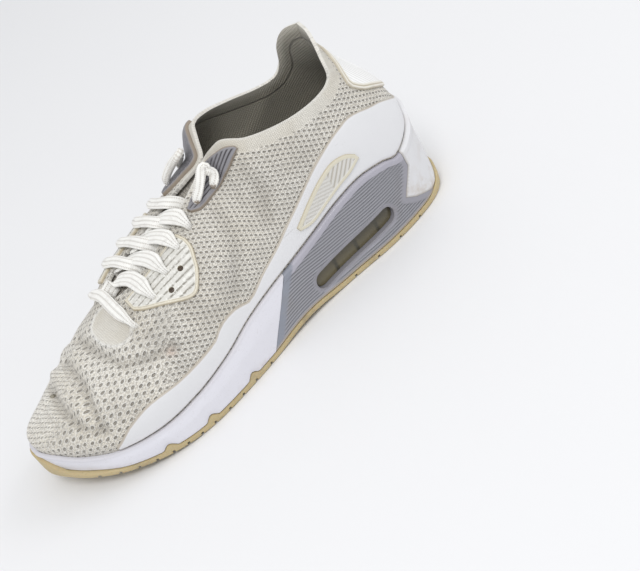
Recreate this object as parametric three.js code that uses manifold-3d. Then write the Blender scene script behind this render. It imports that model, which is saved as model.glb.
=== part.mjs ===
// A worn low-top knit trainer, left shoe, standing empty on its sole. Millimetres, +Z up.
// The shoe is drawn with x from the heel (0) to the toe (LENGTH), +y lateral, z from the ground, and
// the finished group is moved so that the middle of its footprint is the origin, toe towards +X.
//
// Every piece follows one form, the last. Each side of the shoe has a "walk" u from the middle of
// the heel (0) to the middle of the toe (1), and a "rise" v up the wall: -1 at the foot of the wall
// inside the sole, 0 at the sole's rim, 1 at the collar, the throat's edge or the ridge of the toe.
import * as THREE from 'three';
import { mergeVertices } from 'three/addons/utils/BufferGeometryUtils.js';
import Module from 'manifold-3d';

const wasm = await Module();
wasm.setup();

// ---- Driving dimensions ----
const LENGTH = 296;            // sole, heel to toe
const CENTRE_SHIFT = -0.28;    // the widest points of the two sides are not quite equal
const WALL = 2.0;              // knit upper with its lining
const GAP = 0.3;               // between pieces that meet
const RIM = 4.0;               // the upper stands this far inside the sole's outline
const TREAD = 4.2;             // rubber outsole
const OVERLAY = 1.2;           // moulded trim on the knit
const ON_KNIT = 0.5;           // trim to knit, both being faceted
const INSOLE = 4.0;
const TOE_SPRING = 14;
const HEEL_BEVEL = 4;
const ARCH_RISE = 2.4;
const THROAT_START = 0.47;     // walk at the foot of the V in the collar
const THROAT_END = 0.70;       // walk at the front end of the throat
const SIDES = { lateral: 1, medial: -1 };
const LACE_WIDTH = 7;
const LACE_THICK = 1.8;
const LOOP_CORD = 4.4;

// A smooth course through stations [t, a, b, ...]: gives the values at t.
function course(stations) {
  const last = stations.length - 1;
  const slope = stations.map((station, i) => {
    const before = stations[Math.max(i - 1, 0)];
    const after = stations[Math.min(i + 1, last)];
    return station.map((_, j) => (after[j] - before[j]) / (after[0] - before[0]));
  });
  return (t) => {
    const at = Math.min(Math.max(t, stations[0][0]), stations[last][0]);
    let k = 0;
    while (k < last - 1 && at >= stations[k + 1][0]) k += 1;
    const step = stations[k + 1][0] - stations[k][0];
    const s = (at - stations[k][0]) / step;
    return stations[k].slice(1).map((value, j) => {
      const next = stations[k + 1][j + 1];
      return (1 + 2 * s) * (1 - s) ** 2 * value + s * (1 - s) ** 2 * step * slope[k][j + 1]
        + s * s * (3 - 2 * s) * next + s * s * (s - 1) * step * slope[k + 1][j + 1];
    });
  };
}

const vector = (x, y, z) => new THREE.Vector3(x, y, z);

// ---- The last ----
// The sole's outline: walk, x, y.
const outline = {
  lateral: course([[0, 0, 0], [0.015, 0.3, 6], [0.04, 3, 15.5], [0.09, 12, 28], [0.15, 30, 36],
    [0.25, 60, 40], [0.38, 100, 38.5], [0.5, 140, 41.5], [0.61, 180, 48.5], [0.7, 210, 51.5],
    [0.78, 236, 48.5], [0.86, 262, 38], [0.92, 280, 23.5], [0.965, 291, 8], [0.985, 295.2, -1.5],
    [1, LENGTH, -9]]),
  medial: course([[0, 0, 0], [0.015, 0.3, -6], [0.04, 3, -15.5], [0.09, 12, -28], [0.15, 30, -35.5],
    [0.25, 60, -38], [0.38, 100, -35], [0.5, 140, -36], [0.61, 180, -43.5], [0.7, 213, -50],
    [0.78, 238, -50.5], [0.86, 263, -45.5], [0.92, 280, -36.5], [0.965, 291.5, -24],
    [0.985, 295.2, -16], [1, LENGTH, -9]]),
};
// Height of the midsole's rim along the walk: high cup at the heel, low at the ball, up at the toe.
const rimHeight = course([[0, 58], [0.04, 56], [0.09, 48], [0.15, 42], [0.19, 46.5], [0.25, 50],
  [0.31, 47.5], [0.38, 41.5], [0.44, 37.5], [0.5, 34.5], [0.56, 31], [0.61, 26], [0.66, 22.8],
  [0.7, 21], [0.78, 18.5], [0.86, 19.5], [0.92, 23.5], [0.965, 27.5], [1, 29]]);
// Top of the footbed, by x.
const bedHeight = course([[0, 28], [60, 27], [120, 22.5], [180, 14.5], [220, 12.5], [255, 15],
  [LENGTH, 23]]);
// Top edge of the upper: heel peak, collar, V, then the throat's edge: walk, x, y, z.
const topEdge = {
  lateral: course([[0, 30, 0, 131], [0.05, 32.5, 12, 127.5], [0.1, 37.5, 22, 117],
    [0.135, 41.5, 27, 107.5], [0.17, 50, 28.5, 103.2], [0.24, 68, 29, 103], [0.31, 86, 26.5, 105.5],
    [0.38, 101, 21.5, 109], [0.425, 111, 14.5, 113.5], [0.45, 117, 7.5, 109.5],
    [0.47, 121.5, 1.6, 104.5], [0.51, 134, 3.5, 98.5], [0.56, 156, 7, 90.5], [0.61, 178, 8, 82.5],
    [0.655, 198, 5.5, 76], [0.68, 210, -1, 73], [0.7, 214, -5.5, 71.5]]),
  medial: course([[0, 30, 0, 131], [0.05, 35, -12, 128], [0.1, 39, -22, 119], [0.135, 42, -28, 106],
    [0.17, 48, -30.5, 100.5], [0.24, 62, -31.5, 102], [0.31, 80, -30.5, 108],
    [0.38, 98, -25.5, 114.5], [0.425, 110, -17.5, 116.5], [0.45, 116, -9, 111],
    [0.47, 121.5, -1.6, 104.8], [0.51, 134, -4.5, 99], [0.56, 156, -11, 91.5], [0.61, 178, -15, 84],
    [0.655, 198, -15, 78], [0.68, 210, -9.5, 74], [0.7, 214, -5.5, 71.5]]),
};
// The ridge of the toe box, from the end of the throat to where the toe rounds off.
const ridge = course([[0.7, 214, -5.5, 71.5], [0.76, 228, -8, 65.5], [0.83, 242, -11, 58.5],
  [0.9, 254, -13, 52], [0.95, 261, -14, 47.5], [1, 266, -14, 44]]);
// How the wall leaves the rim and comes to its top: outward lean, and the fullness of both ends.
const rimLean = course([[0, 0.02], [0.1, 0.06], [0.25, 0.05], [0.4, 0.02], [0.6, 0.1], [0.75, 0.25],
  [0.9, 0.38], [1, 0.3]]);
const topLean = {
  lateral: course([[0, -0.25], [0.05, -0.1], [0.1, 0.15], [0.17, 0.25], [0.3, 0.5], [0.425, 0.9],
    [0.47, 1.3], [0.51, 1.8], [0.56, 2.5], [0.7, 5]]),
  medial: course([[0, -0.25], [0.05, -0.1], [0.1, 0.15], [0.17, 0.25], [0.3, 0.5], [0.38, 1.2],
    [0.425, 2.4], [0.47, 6], [0.51, 7.5], [0.56, 7.5], [0.61, 6.5], [0.7, 5]]),
};
const lowFullness = {
  lateral: course([[0, 0.38], [0.3, 0.36], [0.5, 0.42], [0.7, 0.5], [0.85, 0.52], [1, 0.46]]),
  medial: course([[0, 0.38], [0.3, 0.36], [0.5, 0.4], [0.7, 0.4], [0.8, 0.37], [0.92, 0.34],
    [1, 0.46]]),
};
const highFullness = {
  lateral: course([[0, 0.34], [0.3, 0.34], [0.47, 0.4], [0.6, 0.5], [0.7, 0.5], [0.85, 0.46],
    [1, 0.4]]),
  medial: course([[0, 0.34], [0.3, 0.34], [0.38, 0.44], [0.43, 0.56], [0.47, 0.66], [0.52, 0.68],
    [0.56, 0.64], [0.61, 0.56], [0.66, 0.46], [0.7, 0.4], [0.85, 0.34], [1, 0.4]]),
};
const SMALL_STEP = 0.001;

function outward(side, u) {
  if (u <= SMALL_STEP) return vector(-1, 0, 0);
  if (u >= 1 - SMALL_STEP) return vector(1, 0, 0);
  const [x0, y0] = outline[side](u - SMALL_STEP);
  const [x1, y1] = outline[side](u + SMALL_STEP);
  return vector(-(y1 - y0), x1 - x0, 0).normalize().multiplyScalar(SIDES[side]);
}

// A point of the sole's wall, "inset" inside the outline, at height z.
function soleWall(side, u, inset, z) {
  const [x, y] = outline[side](u);
  return vector(x, y, z).addScaledVector(outward(side, u), -inset);
}

// How far the underside is lifted off the ground: toe spring, heel bevel and arch.
function groundLift(x) {
  const toe = x > 205 ? TOE_SPRING * ((x - 205) / 95) ** 2 : 0;
  const heel = x < 22 ? HEEL_BEVEL * ((22 - x) / 22) ** 2 : 0;
  const arch = Math.abs(x - 128) < 34 ? ARCH_RISE * Math.cos(((x - 128) / 68) * Math.PI) ** 2 : 0;
  return toe + heel + arch;
}

// Direction in which the wall comes away from its top edge, downwards and outwards.
function topDirection(side, u) {
  const hand = SIDES[side];
  if (u >= THROAT_END) {
    const back = vector(...ridge(u - SMALL_STEP));
    const along = vector(...ridge(Math.min(u + SMALL_STEP, 1))).sub(back).normalize();
    const turn = ((u - THROAT_END) / (1 - THROAT_END)) ** 1.2 * (Math.PI / 2);
    const left = 1 - (u - THROAT_END) / (1 - THROAT_END);
    const across = vector(0.1 * (1 - turn / (Math.PI / 2)), hand, -0.12 * left).normalize();
    return across.multiplyScalar(Math.cos(turn)).addScaledVector(along, Math.sin(turn));
  }
  const down = outward(side, u).multiplyScalar(topLean[side](u)[0]).add(vector(0, 0, -1)).normalize();
  if (u < THROAT_START) return down;
  const across = vector(0.1, hand, -0.12).normalize();
  const blend = THREE.MathUtils.smoothstep(u, THROAT_START, THROAT_END);
  return down.multiplyScalar(1 - blend).addScaledVector(across, blend).normalize();
}

function wallTop(side, u) {
  return vector(...(u < THROAT_END ? topEdge[side](u) : ridge(u)));
}

function wallFoot(side, u) {
  return soleWall(side, u, RIM, rimHeight(u)[0]);
}

// The outer face of the upper. Below the rim (v < 0) it turns in to meet the footbed.
const FOOT_TURN = 2.6;
function skin(side, u, v) {
  const foot = wallFoot(side, u);
  if (v < 0) {
    const bed = bedHeight(foot.x)[0] + GAP;
    foot.z = THREE.MathUtils.lerp(foot.z, bed, -v);
    return foot.addScaledVector(outward(side, u), -FOOT_TURN * v * v);
  }
  const top = wallTop(side, u);
  const span = top.distanceTo(foot);
  const leaving = outward(side, u).multiplyScalar(rimLean(u)[0]).add(vector(0, 0, 1)).normalize();
  const low = foot.clone().addScaledVector(leaving, span * lowFullness[side](u)[0]);
  const high = top.clone().addScaledVector(topDirection(side, u), span * highFullness[side](u)[0]);
  return new THREE.CubicBezierCurve3(foot, low, high, top).getPoint(v);
}

// ---- Closed meshes from rows of points ----
function closedMesh(triangles) {
  const positions = new Float32Array(triangles.flatMap((p) => [p.x, p.y, p.z]));
  const loose = new THREE.BufferGeometry();
  loose.setAttribute('position', new THREE.BufferAttribute(positions, 3));
  const merged = mergeVertices(loose, 0.0005);
  const index = Array.from(merged.index.array);
  const kept = [];
  for (let i = 0; i < index.length; i += 3) {
    const [a, b, c] = index.slice(i, i + 3);
    if (a !== b && b !== c && c !== a) kept.push(a, b, c);
  }
  if (signedVolume(merged.attributes.position, kept) < 0) kept.reverse();
  merged.setIndex(kept);
  return merged;
}

function signedVolume(position, index) {
  const corner = index.map((i) => new THREE.Vector3().fromBufferAttribute(position, i));
  let volume = 0;
  for (let i = 0; i < corner.length; i += 3) {
    volume += corner[i].dot(corner[i + 1].clone().cross(corner[i + 2])) / 6;
  }
  return volume;
}

function quad(out, a, b, c, d) {
  out.push(a, b, c, a, c, d);
}

// Strips between neighbouring rows of one grid; "turn" turns the faces round.
function strips(out, grid, turn) {
  for (let i = 0; i + 1 < grid.length; i += 1) {
    for (let j = 0; j + 1 < grid[i].length; j += 1) {
      const [a, b, c, d] = [grid[i][j], grid[i + 1][j], grid[i + 1][j + 1], grid[i][j + 1]];
      if (turn) quad(out, a, d, c, b);
      else quad(out, a, b, c, d);
    }
  }
}

// Walk stations: closer together round the heel and the toe.
const WALK_RUNS = [[0, 0.2, 10], [0.2, THROAT_END, 18], [THROAT_END, 1, 12]];
const walk = [0, ...WALK_RUNS.flatMap(([from, to, steps]) => (
  Array.from({ length: steps }, (_, i) => from + ((to - from) * (i + 1)) / steps)))];

// A solid of the shoe's plan: each walk station gives a profile from the underside's edge to the
// top face's edge, and the two faces are closed from side to side.
function planSolid(profile, stations = walk) {
  const out = [];
  const grids = Object.keys(SIDES).map((side) => stations.map((u) => profile(side, u)));
  strips(out, grids[0], false);
  strips(out, grids[1], true);
  const [near, far] = grids;
  const topRow = near[0].length - 1;
  for (let i = 0; i + 1 < stations.length; i += 1) {
    quad(out, near[i][0], far[i][0], far[i + 1][0], near[i + 1][0]);
    quad(out, near[i][topRow], near[i + 1][topRow], far[i + 1][topRow], far[i][topRow]);
  }
  return closedMesh(out);
}

// Mean normal at each point of a grid, from its neighbours.
function gridNormals(grid) {
  const lastRow = grid.length - 1;
  return grid.map((row, i) => row.map((_, j) => {
    const lastColumn = row.length - 1;
    const alongRow = grid[Math.min(i + 1, lastRow)][j].clone().sub(grid[Math.max(i - 1, 0)][j]);
    const upColumn = row[Math.min(j + 1, lastColumn)].clone().sub(row[Math.max(j - 1, 0)]);
    return alongRow.cross(upColumn).normalize();
  }));
}

// A plate that follows a grid of points, between two distances outside it.
function plate(grid, inner, outer, hand) {
  const normals = gridNormals(grid);
  const away = (distance) => grid.map((row, i) => row.map((p, j) => (
    p.clone().addScaledVector(normals[i][j], distance * hand))));
  const [under, over] = [away(inner), away(outer)];
  const out = [];
  strips(out, over, false);
  strips(out, under, true);
  const [rows, columns] = [grid.length - 1, grid[0].length - 1];
  const firstColumn = (sheet) => sheet.map((row) => row[0]);
  const lastColumn = (sheet) => sheet.map((row) => row[columns]);
  strips(out, [under[0], over[0]], false);
  strips(out, [over[rows], under[rows]], false);
  strips(out, [firstColumn(over), firstColumn(under)], false);
  strips(out, [lastColumn(under), lastColumn(over)], false);
  return closedMesh(out);
}

// A patch of the upper's face between two edges, each a list of [walk, rise].
function patch(side, lowEdge, highEdge, rows, columns) {
  const low = course(lowEdge.map((p, i) => [i / (lowEdge.length - 1), ...p]));
  const high = course(highEdge.map((p, i) => [i / (highEdge.length - 1), ...p]));
  return Array.from({ length: columns + 1 }, (_, i) => {
    const [u0, v0] = low(i / columns);
    const [u1, v1] = high(i / columns);
    return Array.from({ length: rows + 1 }, (__, j) => (
      skin(side, THREE.MathUtils.lerp(u0, u1, j / rows), THREE.MathUtils.lerp(v0, v1, j / rows))));
  });
}

// ---- Joining and cutting ----
function solid(geometry) {
  const bare = geometry.clone();
  bare.deleteAttribute('normal');
  bare.deleteAttribute('uv');
  const merged = mergeVertices(bare, 0.0005);
  const vertProperties = new Float32Array(merged.attributes.position.array);
  const triVerts = new Uint32Array(merged.index.array);
  return new wasm.Manifold(new wasm.Mesh({ numProp: 3, vertProperties, triVerts }));
}

function geometryOf(manifold) {
  const { vertProperties, triVerts, numProp } = manifold.getMesh();
  const geometry = new THREE.BufferGeometry();
  const positions = new Float32Array((vertProperties.length / numProp) * 3);
  for (let i = 0; i < positions.length / 3; i += 1) {
    positions.set(vertProperties.slice(i * numProp, i * numProp + 3), i * 3);
  }
  geometry.setAttribute('position', new THREE.BufferAttribute(positions, 3));
  geometry.setIndex(Array.from(triVerts));
  return geometry;
}

// A side-view shape [x, z] carried straight through the shoe from one side to the other.
const FULL_WIDTH = 130;
function crosswise(points) {
  const shape = new THREE.Shape(points.map(([x, z]) => new THREE.Vector2(x, z)));
  const bar = new THREE.ExtrudeGeometry(shape, { depth: FULL_WIDTH, bevelEnabled: false });
  bar.rotateX(Math.PI / 2);
  bar.translate(0, FULL_WIDTH / 2, 0);
  return bar;
}

const group = new THREE.Group();
group.position.set(-LENGTH / 2, CENTRE_SHIFT, 0);

function add(name, geometry, color, roughness, metalness = 0) {
  const mesh = new THREE.Mesh(geometry, new THREE.MeshStandardMaterial({ color, roughness, metalness }));
  mesh.name = name;
  group.add(mesh);
}

// ---- Outsole: gum rubber, lugs, a bumper up over the toe and a thin lip up the heel ----
const bumperTop = {
  lateral: course([[0, 11], [0.05, 9.5], [0.1, 6], [0.14, 4], [0.9, 5.5], [0.93, 9.5], [0.95, 14],
    [0.965, 18.5], [0.98, 23.5], [1, 27.5]]),
  medial: course([[0, 11], [0.05, 9.5], [0.1, 6], [0.14, 4], [0.86, 6], [0.9, 13], [0.93, 18],
    [0.96, 23.5], [1, 27.5]]),
};
const bumperDepth = course([[0, 1.6], [0.08, 1.6], [0.14, 0.1], [0.85, 0.1], [0.92, 2.2], [1, 2.4]]);

function liftAt(side, u) {
  return groundLift(soleWall(side, u, 0, 0).x);
}

function outsoleTop(side, u) {
  const flush = liftAt(side, u) + TREAD - GAP;
  return u > 0.14 && u < 0.85 ? flush : Math.max(flush, bumperTop[side](u)[0]);
}

function outsoleBlank() {
  return planSolid((side, u) => {
    const lift = liftAt(side, u);
    return [soleWall(side, u, 1.8, lift), soleWall(side, u, 0.2, lift + 2),
      soleWall(side, u, 0.1, lift + TREAD - 0.6), soleWall(side, u, 0.1, outsoleTop(side, u))];
  });
}

// What the outsole wraps: the midsole's foot, grown by the gap and carried up past the bumper.
const ABOVE_ALL = 90;
function midsoleFoot() {
  return planSolid((side, u) => {
    const inset = bumperDepth(u)[0] + 0.1 - (u > 0.14 && u < 0.85 ? 2 : 0);
    return [soleWall(side, u, inset, liftAt(side, u) + TREAD), soleWall(side, u, inset, ABOVE_ALL)];
  });
}

const GROOVE_DEPTH = 2;
const GROOVES = [38, 56, 74, 92, 164, 176, 188, 200, 212, 224, 236, 248, 260];
const GROOVE_WIDTH = 2.4;

function groove(x) {
  const ceiling = groundLift(x) + GROOVE_DEPTH;
  return crosswise([[x, -1], [x + GROOVE_WIDTH, -1], [x + GROOVE_WIDTH, ceiling], [x, ceiling]]);
}

function makeOutsole() {
  let body = solid(outsoleBlank()).subtract(solid(midsoleFoot()));
  GROOVES.forEach((x) => {
    body = body.subtract(solid(groove(x)));
  });
  return geometryOf(body);
}

// ---- Midsole: foam front, ribbed heel block, white heel clip ----
// One body with the cup that the upper sits in, then cut along the joints between its three parts.
const RIM_ROUND = 1.2;
function midsoleBody(shrink = 0) {
  return planSolid((side, u) => {
    const lift = liftAt(side, u) + TREAD;
    const rim = rimHeight(u)[0];
    const foot = bumperDepth(u)[0] + 0.1 + GAP + shrink;
    const low = Math.max(lift + 2, u < 0.14 || u > 0.85 ? bumperTop[side](u)[0] : 0);
    const waist = THREE.MathUtils.lerp(low, rim, 0.5);
    const cup = (v) => skin(side, u, v).addScaledVector(outward(side, u), GAP);
    return [soleWall(side, u, foot, lift + GAP), soleWall(side, u, foot, low),
      soleWall(side, u, Math.min(foot, 1.6) + 0.3, waist),
      soleWall(side, u, 1.3 + shrink, rim - RIM_ROUND),
      soleWall(side, u, 2.2 + shrink, rim - 0.2), cup(0), cup(-0.5), cup(-0.85),
      cup(-1).setZ(bedHeight(skin(side, u, -1).x)[0])];
  });
}

// Joint between the foam front and the ribbed heel block, leaning back as it rises.
const JOINT_FOOT = 163;
const JOINT_TOP = 129;
const JOINT_HEIGHT = 36;
function jointLine(shift) {
  const lean = (JOINT_TOP - JOINT_FOOT) / JOINT_HEIGHT;
  return [[JOINT_FOOT + shift - 8 * lean, -8], [JOINT_FOOT + shift + 70 * lean, 70]];
}
// Zig-zag joint between the heel block and the heel clip: a raised point into the block.
const CLIP_JOINT = [[14, -8], [14, 4.5], [21, 7], [34, 13.5], [40.5, 18.5], [37.5, 22.5], [28.5, 32.5],
  [28.5, 44], [28.5, 70]];

function frontRegion() {
  return crosswise([...jointLine(GAP / 2), [LENGTH + 20, 70], [LENGTH + 20, -8]]);
}

function clipRegion() {
  return crosswise([[-20, -8], ...CLIP_JOINT.map(([x, z]) => [x - GAP / 2, z]), [-20, 70]]);
}

function heelRegion() {
  return crosswise([...CLIP_JOINT.map(([x, z]) => [x + GAP / 2, z]), jointLine(-GAP / 2)[1],
    jointLine(-GAP / 2)[0]]);
}

// The long window in the heel block, the same on both sides, and the cushion cell seen in it.
const WINDOW = { rear: [57, 18.6], front: [110, 14.6], radius: 5.4 };
const ROUND_STEPS = 8;

function stadium(radius) {
  const { rear, front } = WINDOW;
  const tilt = Math.atan2(front[1] - rear[1], front[0] - rear[0]);
  const cap = ([x, z], start) => Array.from({ length: ROUND_STEPS + 1 }, (_, i) => {
    const angle = tilt + start + (i / ROUND_STEPS) * Math.PI;
    return [x + radius * Math.cos(angle), z + radius * Math.sin(angle)];
  });
  return crosswise([...cap(front, -Math.PI / 2), ...cap(rear, Math.PI / 2)]);
}

const CELL_DEPTH = 4;         // the cell's face stands this far inside the block's wall

function cellCore() {
  return planSolid((side, u) => [soleWall(side, u, CELL_DEPTH, 0), soleWall(side, u, CELL_DEPTH, 60)]);
}

// ---- Upper: one hollow knit body ----
const RISE_STEPS = 10;
const upperRises = [-1, -0.55, ...Array.from({ length: RISE_STEPS + 1 }, (_, i) => i / RISE_STEPS)];

function skinNormal(side, u, v) {
  const e = 0.004;
  const low = Math.max(v - e, -1);
  const high = Math.min(v + e, 1);
  const up = skin(side, u, high).sub(skin(side, u, low));
  const onward = skin(side, Math.min(u + e, 1), v).sub(skin(side, Math.max(u - e, 0), v));
  if (u <= e || u >= 1 - e) onward.set(0, (u <= e ? 1 : -1) * SIDES[side], 0);
  return onward.cross(up).normalize().multiplyScalar(-SIDES[side]);
}

function makeUpper() {
  const out = [];
  Object.entries(SIDES).forEach(([side, hand]) => {
    const outer = walk.map((u) => upperRises.map((v) => skin(side, u, v)));
    const inner = walk.map((u, i) => upperRises.map((v, j) => innerPoint(side, u, v, outer[i][j])));
    strips(out, outer, hand < 0);
    strips(out, inner, hand > 0);
    const last = upperRises.length - 1;
    for (let i = 0; i + 1 < walk.length; i += 1) {
      const foot = [inner[i][0], inner[i + 1][0], outer[i + 1][0], outer[i][0]];
      if (hand < 0) foot.reverse();
      quad(out, ...foot);
      if (walk[i] >= THROAT_END) continue;
      const edge = [outer[i][last], outer[i + 1][last], inner[i + 1][last], inner[i][last]];
      if (hand < 0) edge.reverse();
      quad(out, ...edge);
    }
  });
  return closedMesh(out);
}

// Inner face: one wall inside the outer, and on the toe's ridge straight below it on both sides.
function innerPoint(side, u, v, outer) {
  if (v === 1 && u >= THROAT_END - 0.001) {
    return outer.clone().addScaledVector(ridgeNormal(u), -WALL);
  }
  if (v <= 0) return outer.clone().addScaledVector(outward(side, u), -WALL);
  return outer.clone().addScaledVector(skinNormal(side, u, v), -WALL);
}

function ridgeNormal(u) {
  const back = vector(...ridge(u - SMALL_STEP));
  const along = vector(...ridge(Math.min(u + SMALL_STEP, 1))).sub(back).normalize();
  return along.clone().cross(vector(0, 1, 0)).normalize().negate();
}

// ---- Tongue: knit strip under the throat ----
const TONGUE_WALK = [0.5, 0.52, 0.545, 0.57, 0.595, 0.62, 0.645, 0.665, 0.685];
const TONGUE_RISES = [0.8, 0.88, 0.95];
const TONGUE_THICK = 1.8;
const TONGUE_CLEAR = 0.9;

function makeTongue() {
  const grid = TONGUE_WALK.map((u) => {
    const half = (side) => TONGUE_RISES.map((v) => (
      skin(side, u, v).addScaledVector(skinNormal(side, u, v), -WALL - TONGUE_CLEAR)));
    const near = half('lateral');
    const far = half('medial').reverse();
    const middle = near[2].clone().add(far[0]).multiplyScalar(0.5);
    return [...near, middle, ...far];
  });
  return plate(grid, -TONGUE_THICK, 0, -1);
}

// ---- Insole: thin foam sheet on the footbed ----
function makeInsole() {
  const edge = FOOT_TURN + WALL + 0.9;
  return planSolid((side, u) => {
    const low = soleWall(side, u, RIM + edge, 0);
    const high = soleWall(side, u, RIM + edge - 0.6, 0);
    return [low.setZ(bedHeight(low.x)[0] + GAP), high.setZ(bedHeight(low.x)[0] + GAP + INSOLE)];
  });
}

// ---- Moulded trim, each a thin plate on the upper's own face ----
const guardTop = course([[0, 0.04], [0.04, 0.07], [0.08, 0.25], [0.115, 0.44], [0.158, 0.63],
  [0.208, 0.61], [0.278, 0.49], [0.362, 0.325], [0.44, 0.175], [0.5, 0.12], [0.538, 0.085],
  [0.565, 0.15], [0.6, 0.19], [0.62, 0.16], [0.658, 0.165], [0.705, 0.17], [0.755, 0.205],
  [0.78, 0.205], [0.818, 0.155], [0.84, 0.09], [0.858, 0.035]]);
const GUARD_END = 0.858;
const GUARD_FOOT = 0.012;
const GUARD_COLUMNS = 33;
const GUARD_ROWS = 3;

function makeMudguard() {
  const half = (side) => Array.from({ length: GUARD_COLUMNS + 1 }, (_, i) => {
    const u = (i / GUARD_COLUMNS) * GUARD_END;
    const top = guardTop(u)[0];
    return Array.from({ length: GUARD_ROWS + 1 }, (__, j) => (
      skin(side, u, THREE.MathUtils.lerp(GUARD_FOOT, top, j / GUARD_ROWS))));
  });
  const grid = [...half('medial').reverse(), ...half('lateral').slice(1)];
  return plate(grid, ON_KNIT, ON_KNIT + OVERLAY, -1);
}

const TAB_WALK = [0, 0.02, 0.04, 0.06, 0.08, 0.1, 0.113];
const TAB_LOW = [0.14, 0.15, 0.19, 0.29, 0.41, 0.54, 0.68];
const TAB_HIGH = [0.8, 0.795, 0.79, 0.79, 0.79, 0.775, 0.74];
const TAB_ROWS = 4;

function makeHeelTab() {
  const half = (side) => TAB_WALK.map((u, i) => Array.from({ length: TAB_ROWS + 1 }, (_, j) => (
    skin(side, u, THREE.MathUtils.lerp(TAB_LOW[i], TAB_HIGH[i], j / TAB_ROWS)))));
  const grid = [...half('medial').reverse(), ...half('lateral').slice(1)];
  return plate(grid, ON_KNIT, ON_KNIT + OVERLAY, -1);
}

const BADGE_LOW = [[0.4, 0.108], [0.37, 0.067], [0.335, 0.075], [0.295, 0.1], [0.258, 0.125],
  [0.226, 0.2]];
const BADGE_HIGH = [[0.403, 0.145], [0.36, 0.235], [0.312, 0.317], [0.275, 0.358], [0.245, 0.33],
  [0.228, 0.26]];
const EYESTAY_LOW = [[0.668, 0.81], [0.66, 0.755], [0.645, 0.685], [0.63, 0.61], [0.612, 0.53],
  [0.598, 0.515], [0.582, 0.6], [0.575, 0.68], [0.569, 0.76], [0.568, 0.84]];
const EYESTAY_HIGH = [[0.667, 0.92], [0.656, 0.935], [0.645, 0.94], [0.634, 0.94], [0.623, 0.94],
  [0.612, 0.94], [0.601, 0.94], [0.59, 0.94], [0.579, 0.935], [0.571, 0.92]];
const PETAL_LOW = [[0.408, 0.908], [0.432, 0.842], [0.455, 0.808], [0.48, 0.8], [0.508, 0.825],
  [0.525, 0.842], [0.533, 0.862], [0.541, 0.905]];
const PETAL_HIGH = [[0.41, 0.93], [0.43, 0.945], [0.448, 0.96], [0.465, 0.972], [0.488, 0.975],
  [0.51, 0.965], [0.528, 0.955], [0.542, 0.94]];

const PETAL_LIFT = 1.3;       // the petals stand a little off the knit

function trim(side, low, high, rows, columns, base = ON_KNIT) {
  const backwards = low[0][0] > low[low.length - 1][0] ? 1 : -1;
  return plate(patch(side, low, high, rows, columns), base, base + OVERLAY, backwards * SIDES[side]);
}

// ---- Laces: flat, a straight bar and four crossings, joined where they meet ----
const EYELETS = {
  lateral: [[0.68, 0.7], [0.642, 0.77], [0.612, 0.817], [0.582, 0.85], [0.555, 0.867]],
  medial: [[0.682, 0.8], [0.645, 0.8], [0.615, 0.82], [0.585, 0.85], [0.557, 0.87]],
};
const LACE_CLEAR = 3.6;       // middle of the lace above the knit, clear of the eyestays
const STRAND_STEPS = 7;

function above(side, u, v, height) {
  return skin(side, u, v).addScaledVector(skinNormal(side, u, v), height);
}

// A strand from one side's eyelet to the other's, over the edges of the throat.
function strand(side, row, otherRow) {
  const other = side === 'lateral' ? 'medial' : 'lateral';
  const [u0, v0] = EYELETS[side][row];
  const [u1, v1] = EYELETS[other][otherRow];
  const on = (t) => THREE.MathUtils.lerp(u0, u1, t);
  const [nearShoulder, farShoulder] = [(v0 + 1) / 2, (v1 + 1) / 2];
  const crest = wallTop(side, on(0.5)).lerp(wallTop(other, on(0.5)), 0.5);
  crest.z += LACE_CLEAR + 1;
  const route = new THREE.CatmullRomCurve3([above(side, u0, v0, LACE_CLEAR),
    above(side, on(0.25), nearShoulder, LACE_CLEAR), crest,
    above(other, on(0.75), farShoulder, LACE_CLEAR), above(other, u1, v1, LACE_CLEAR)]);
  const across = route.getPoint(1).sub(route.getPoint(0)).normalize();
  const slope = wallTop(side, on(0.5) + 0.02).sub(wallTop(side, on(0.5) - 0.02));
  const half = slope.addScaledVector(across, -slope.dot(across)).setLength(LACE_WIDTH / 2);
  const grid = Array.from({ length: STRAND_STEPS + 1 }, (_, i) => {
    const p = route.getPoint(i / STRAND_STEPS);
    return [p.clone().sub(half), p.clone().add(half)];
  });
  return solid(plate(grid, -LACE_THICK / 2, LACE_THICK / 2, 1));
}

function makeLaces() {
  let laces = strand('lateral', 0, 0);
  for (let row = 0; row + 1 < EYELETS.lateral.length; row += 1) {
    laces = laces.add(strand('lateral', row, row + 1));
    laces = laces.add(strand('medial', row, row + 1));
  }
  return geometryOf(laces);
}

// The lace's last stretch on each petal: up the petal from its lower hole and back down to its
// upper one. Points are walk, rise and height above the knit.
const LOOP_ROUTE = [[0.527, 0.895, 4.8], [0.517, 0.9, 6.6], [0.503, 0.92, 8.4], [0.487, 0.935, 9.2],
  [0.474, 0.925, 8.8], [0.468, 0.895, 7.6], [0.473, 0.865, 6.2], [0.483, 0.85, 5.5],
  [0.494, 0.843, 4.9]];
const CORD_STEPS = 14;
const CORD_SIDES = 8;

function makeLoop(side) {
  const points = LOOP_ROUTE.map(([u, v, height]) => above(side, u, v, height));
  const section = new THREE.Shape(Array.from({ length: CORD_SIDES }, (_, i) => {
    const angle = ((i + 0.5) / CORD_SIDES) * Math.PI * 2;
    return new THREE.Vector2(Math.cos(angle), Math.sin(angle)).multiplyScalar(LOOP_CORD / 2);
  }));
  const extrudePath = new THREE.CatmullRomCurve3(points);
  const tube = new THREE.ExtrudeGeometry(section, { steps: CORD_STEPS, extrudePath, bevelEnabled: false });
  return geometryOf(solid(tube));
}

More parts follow.
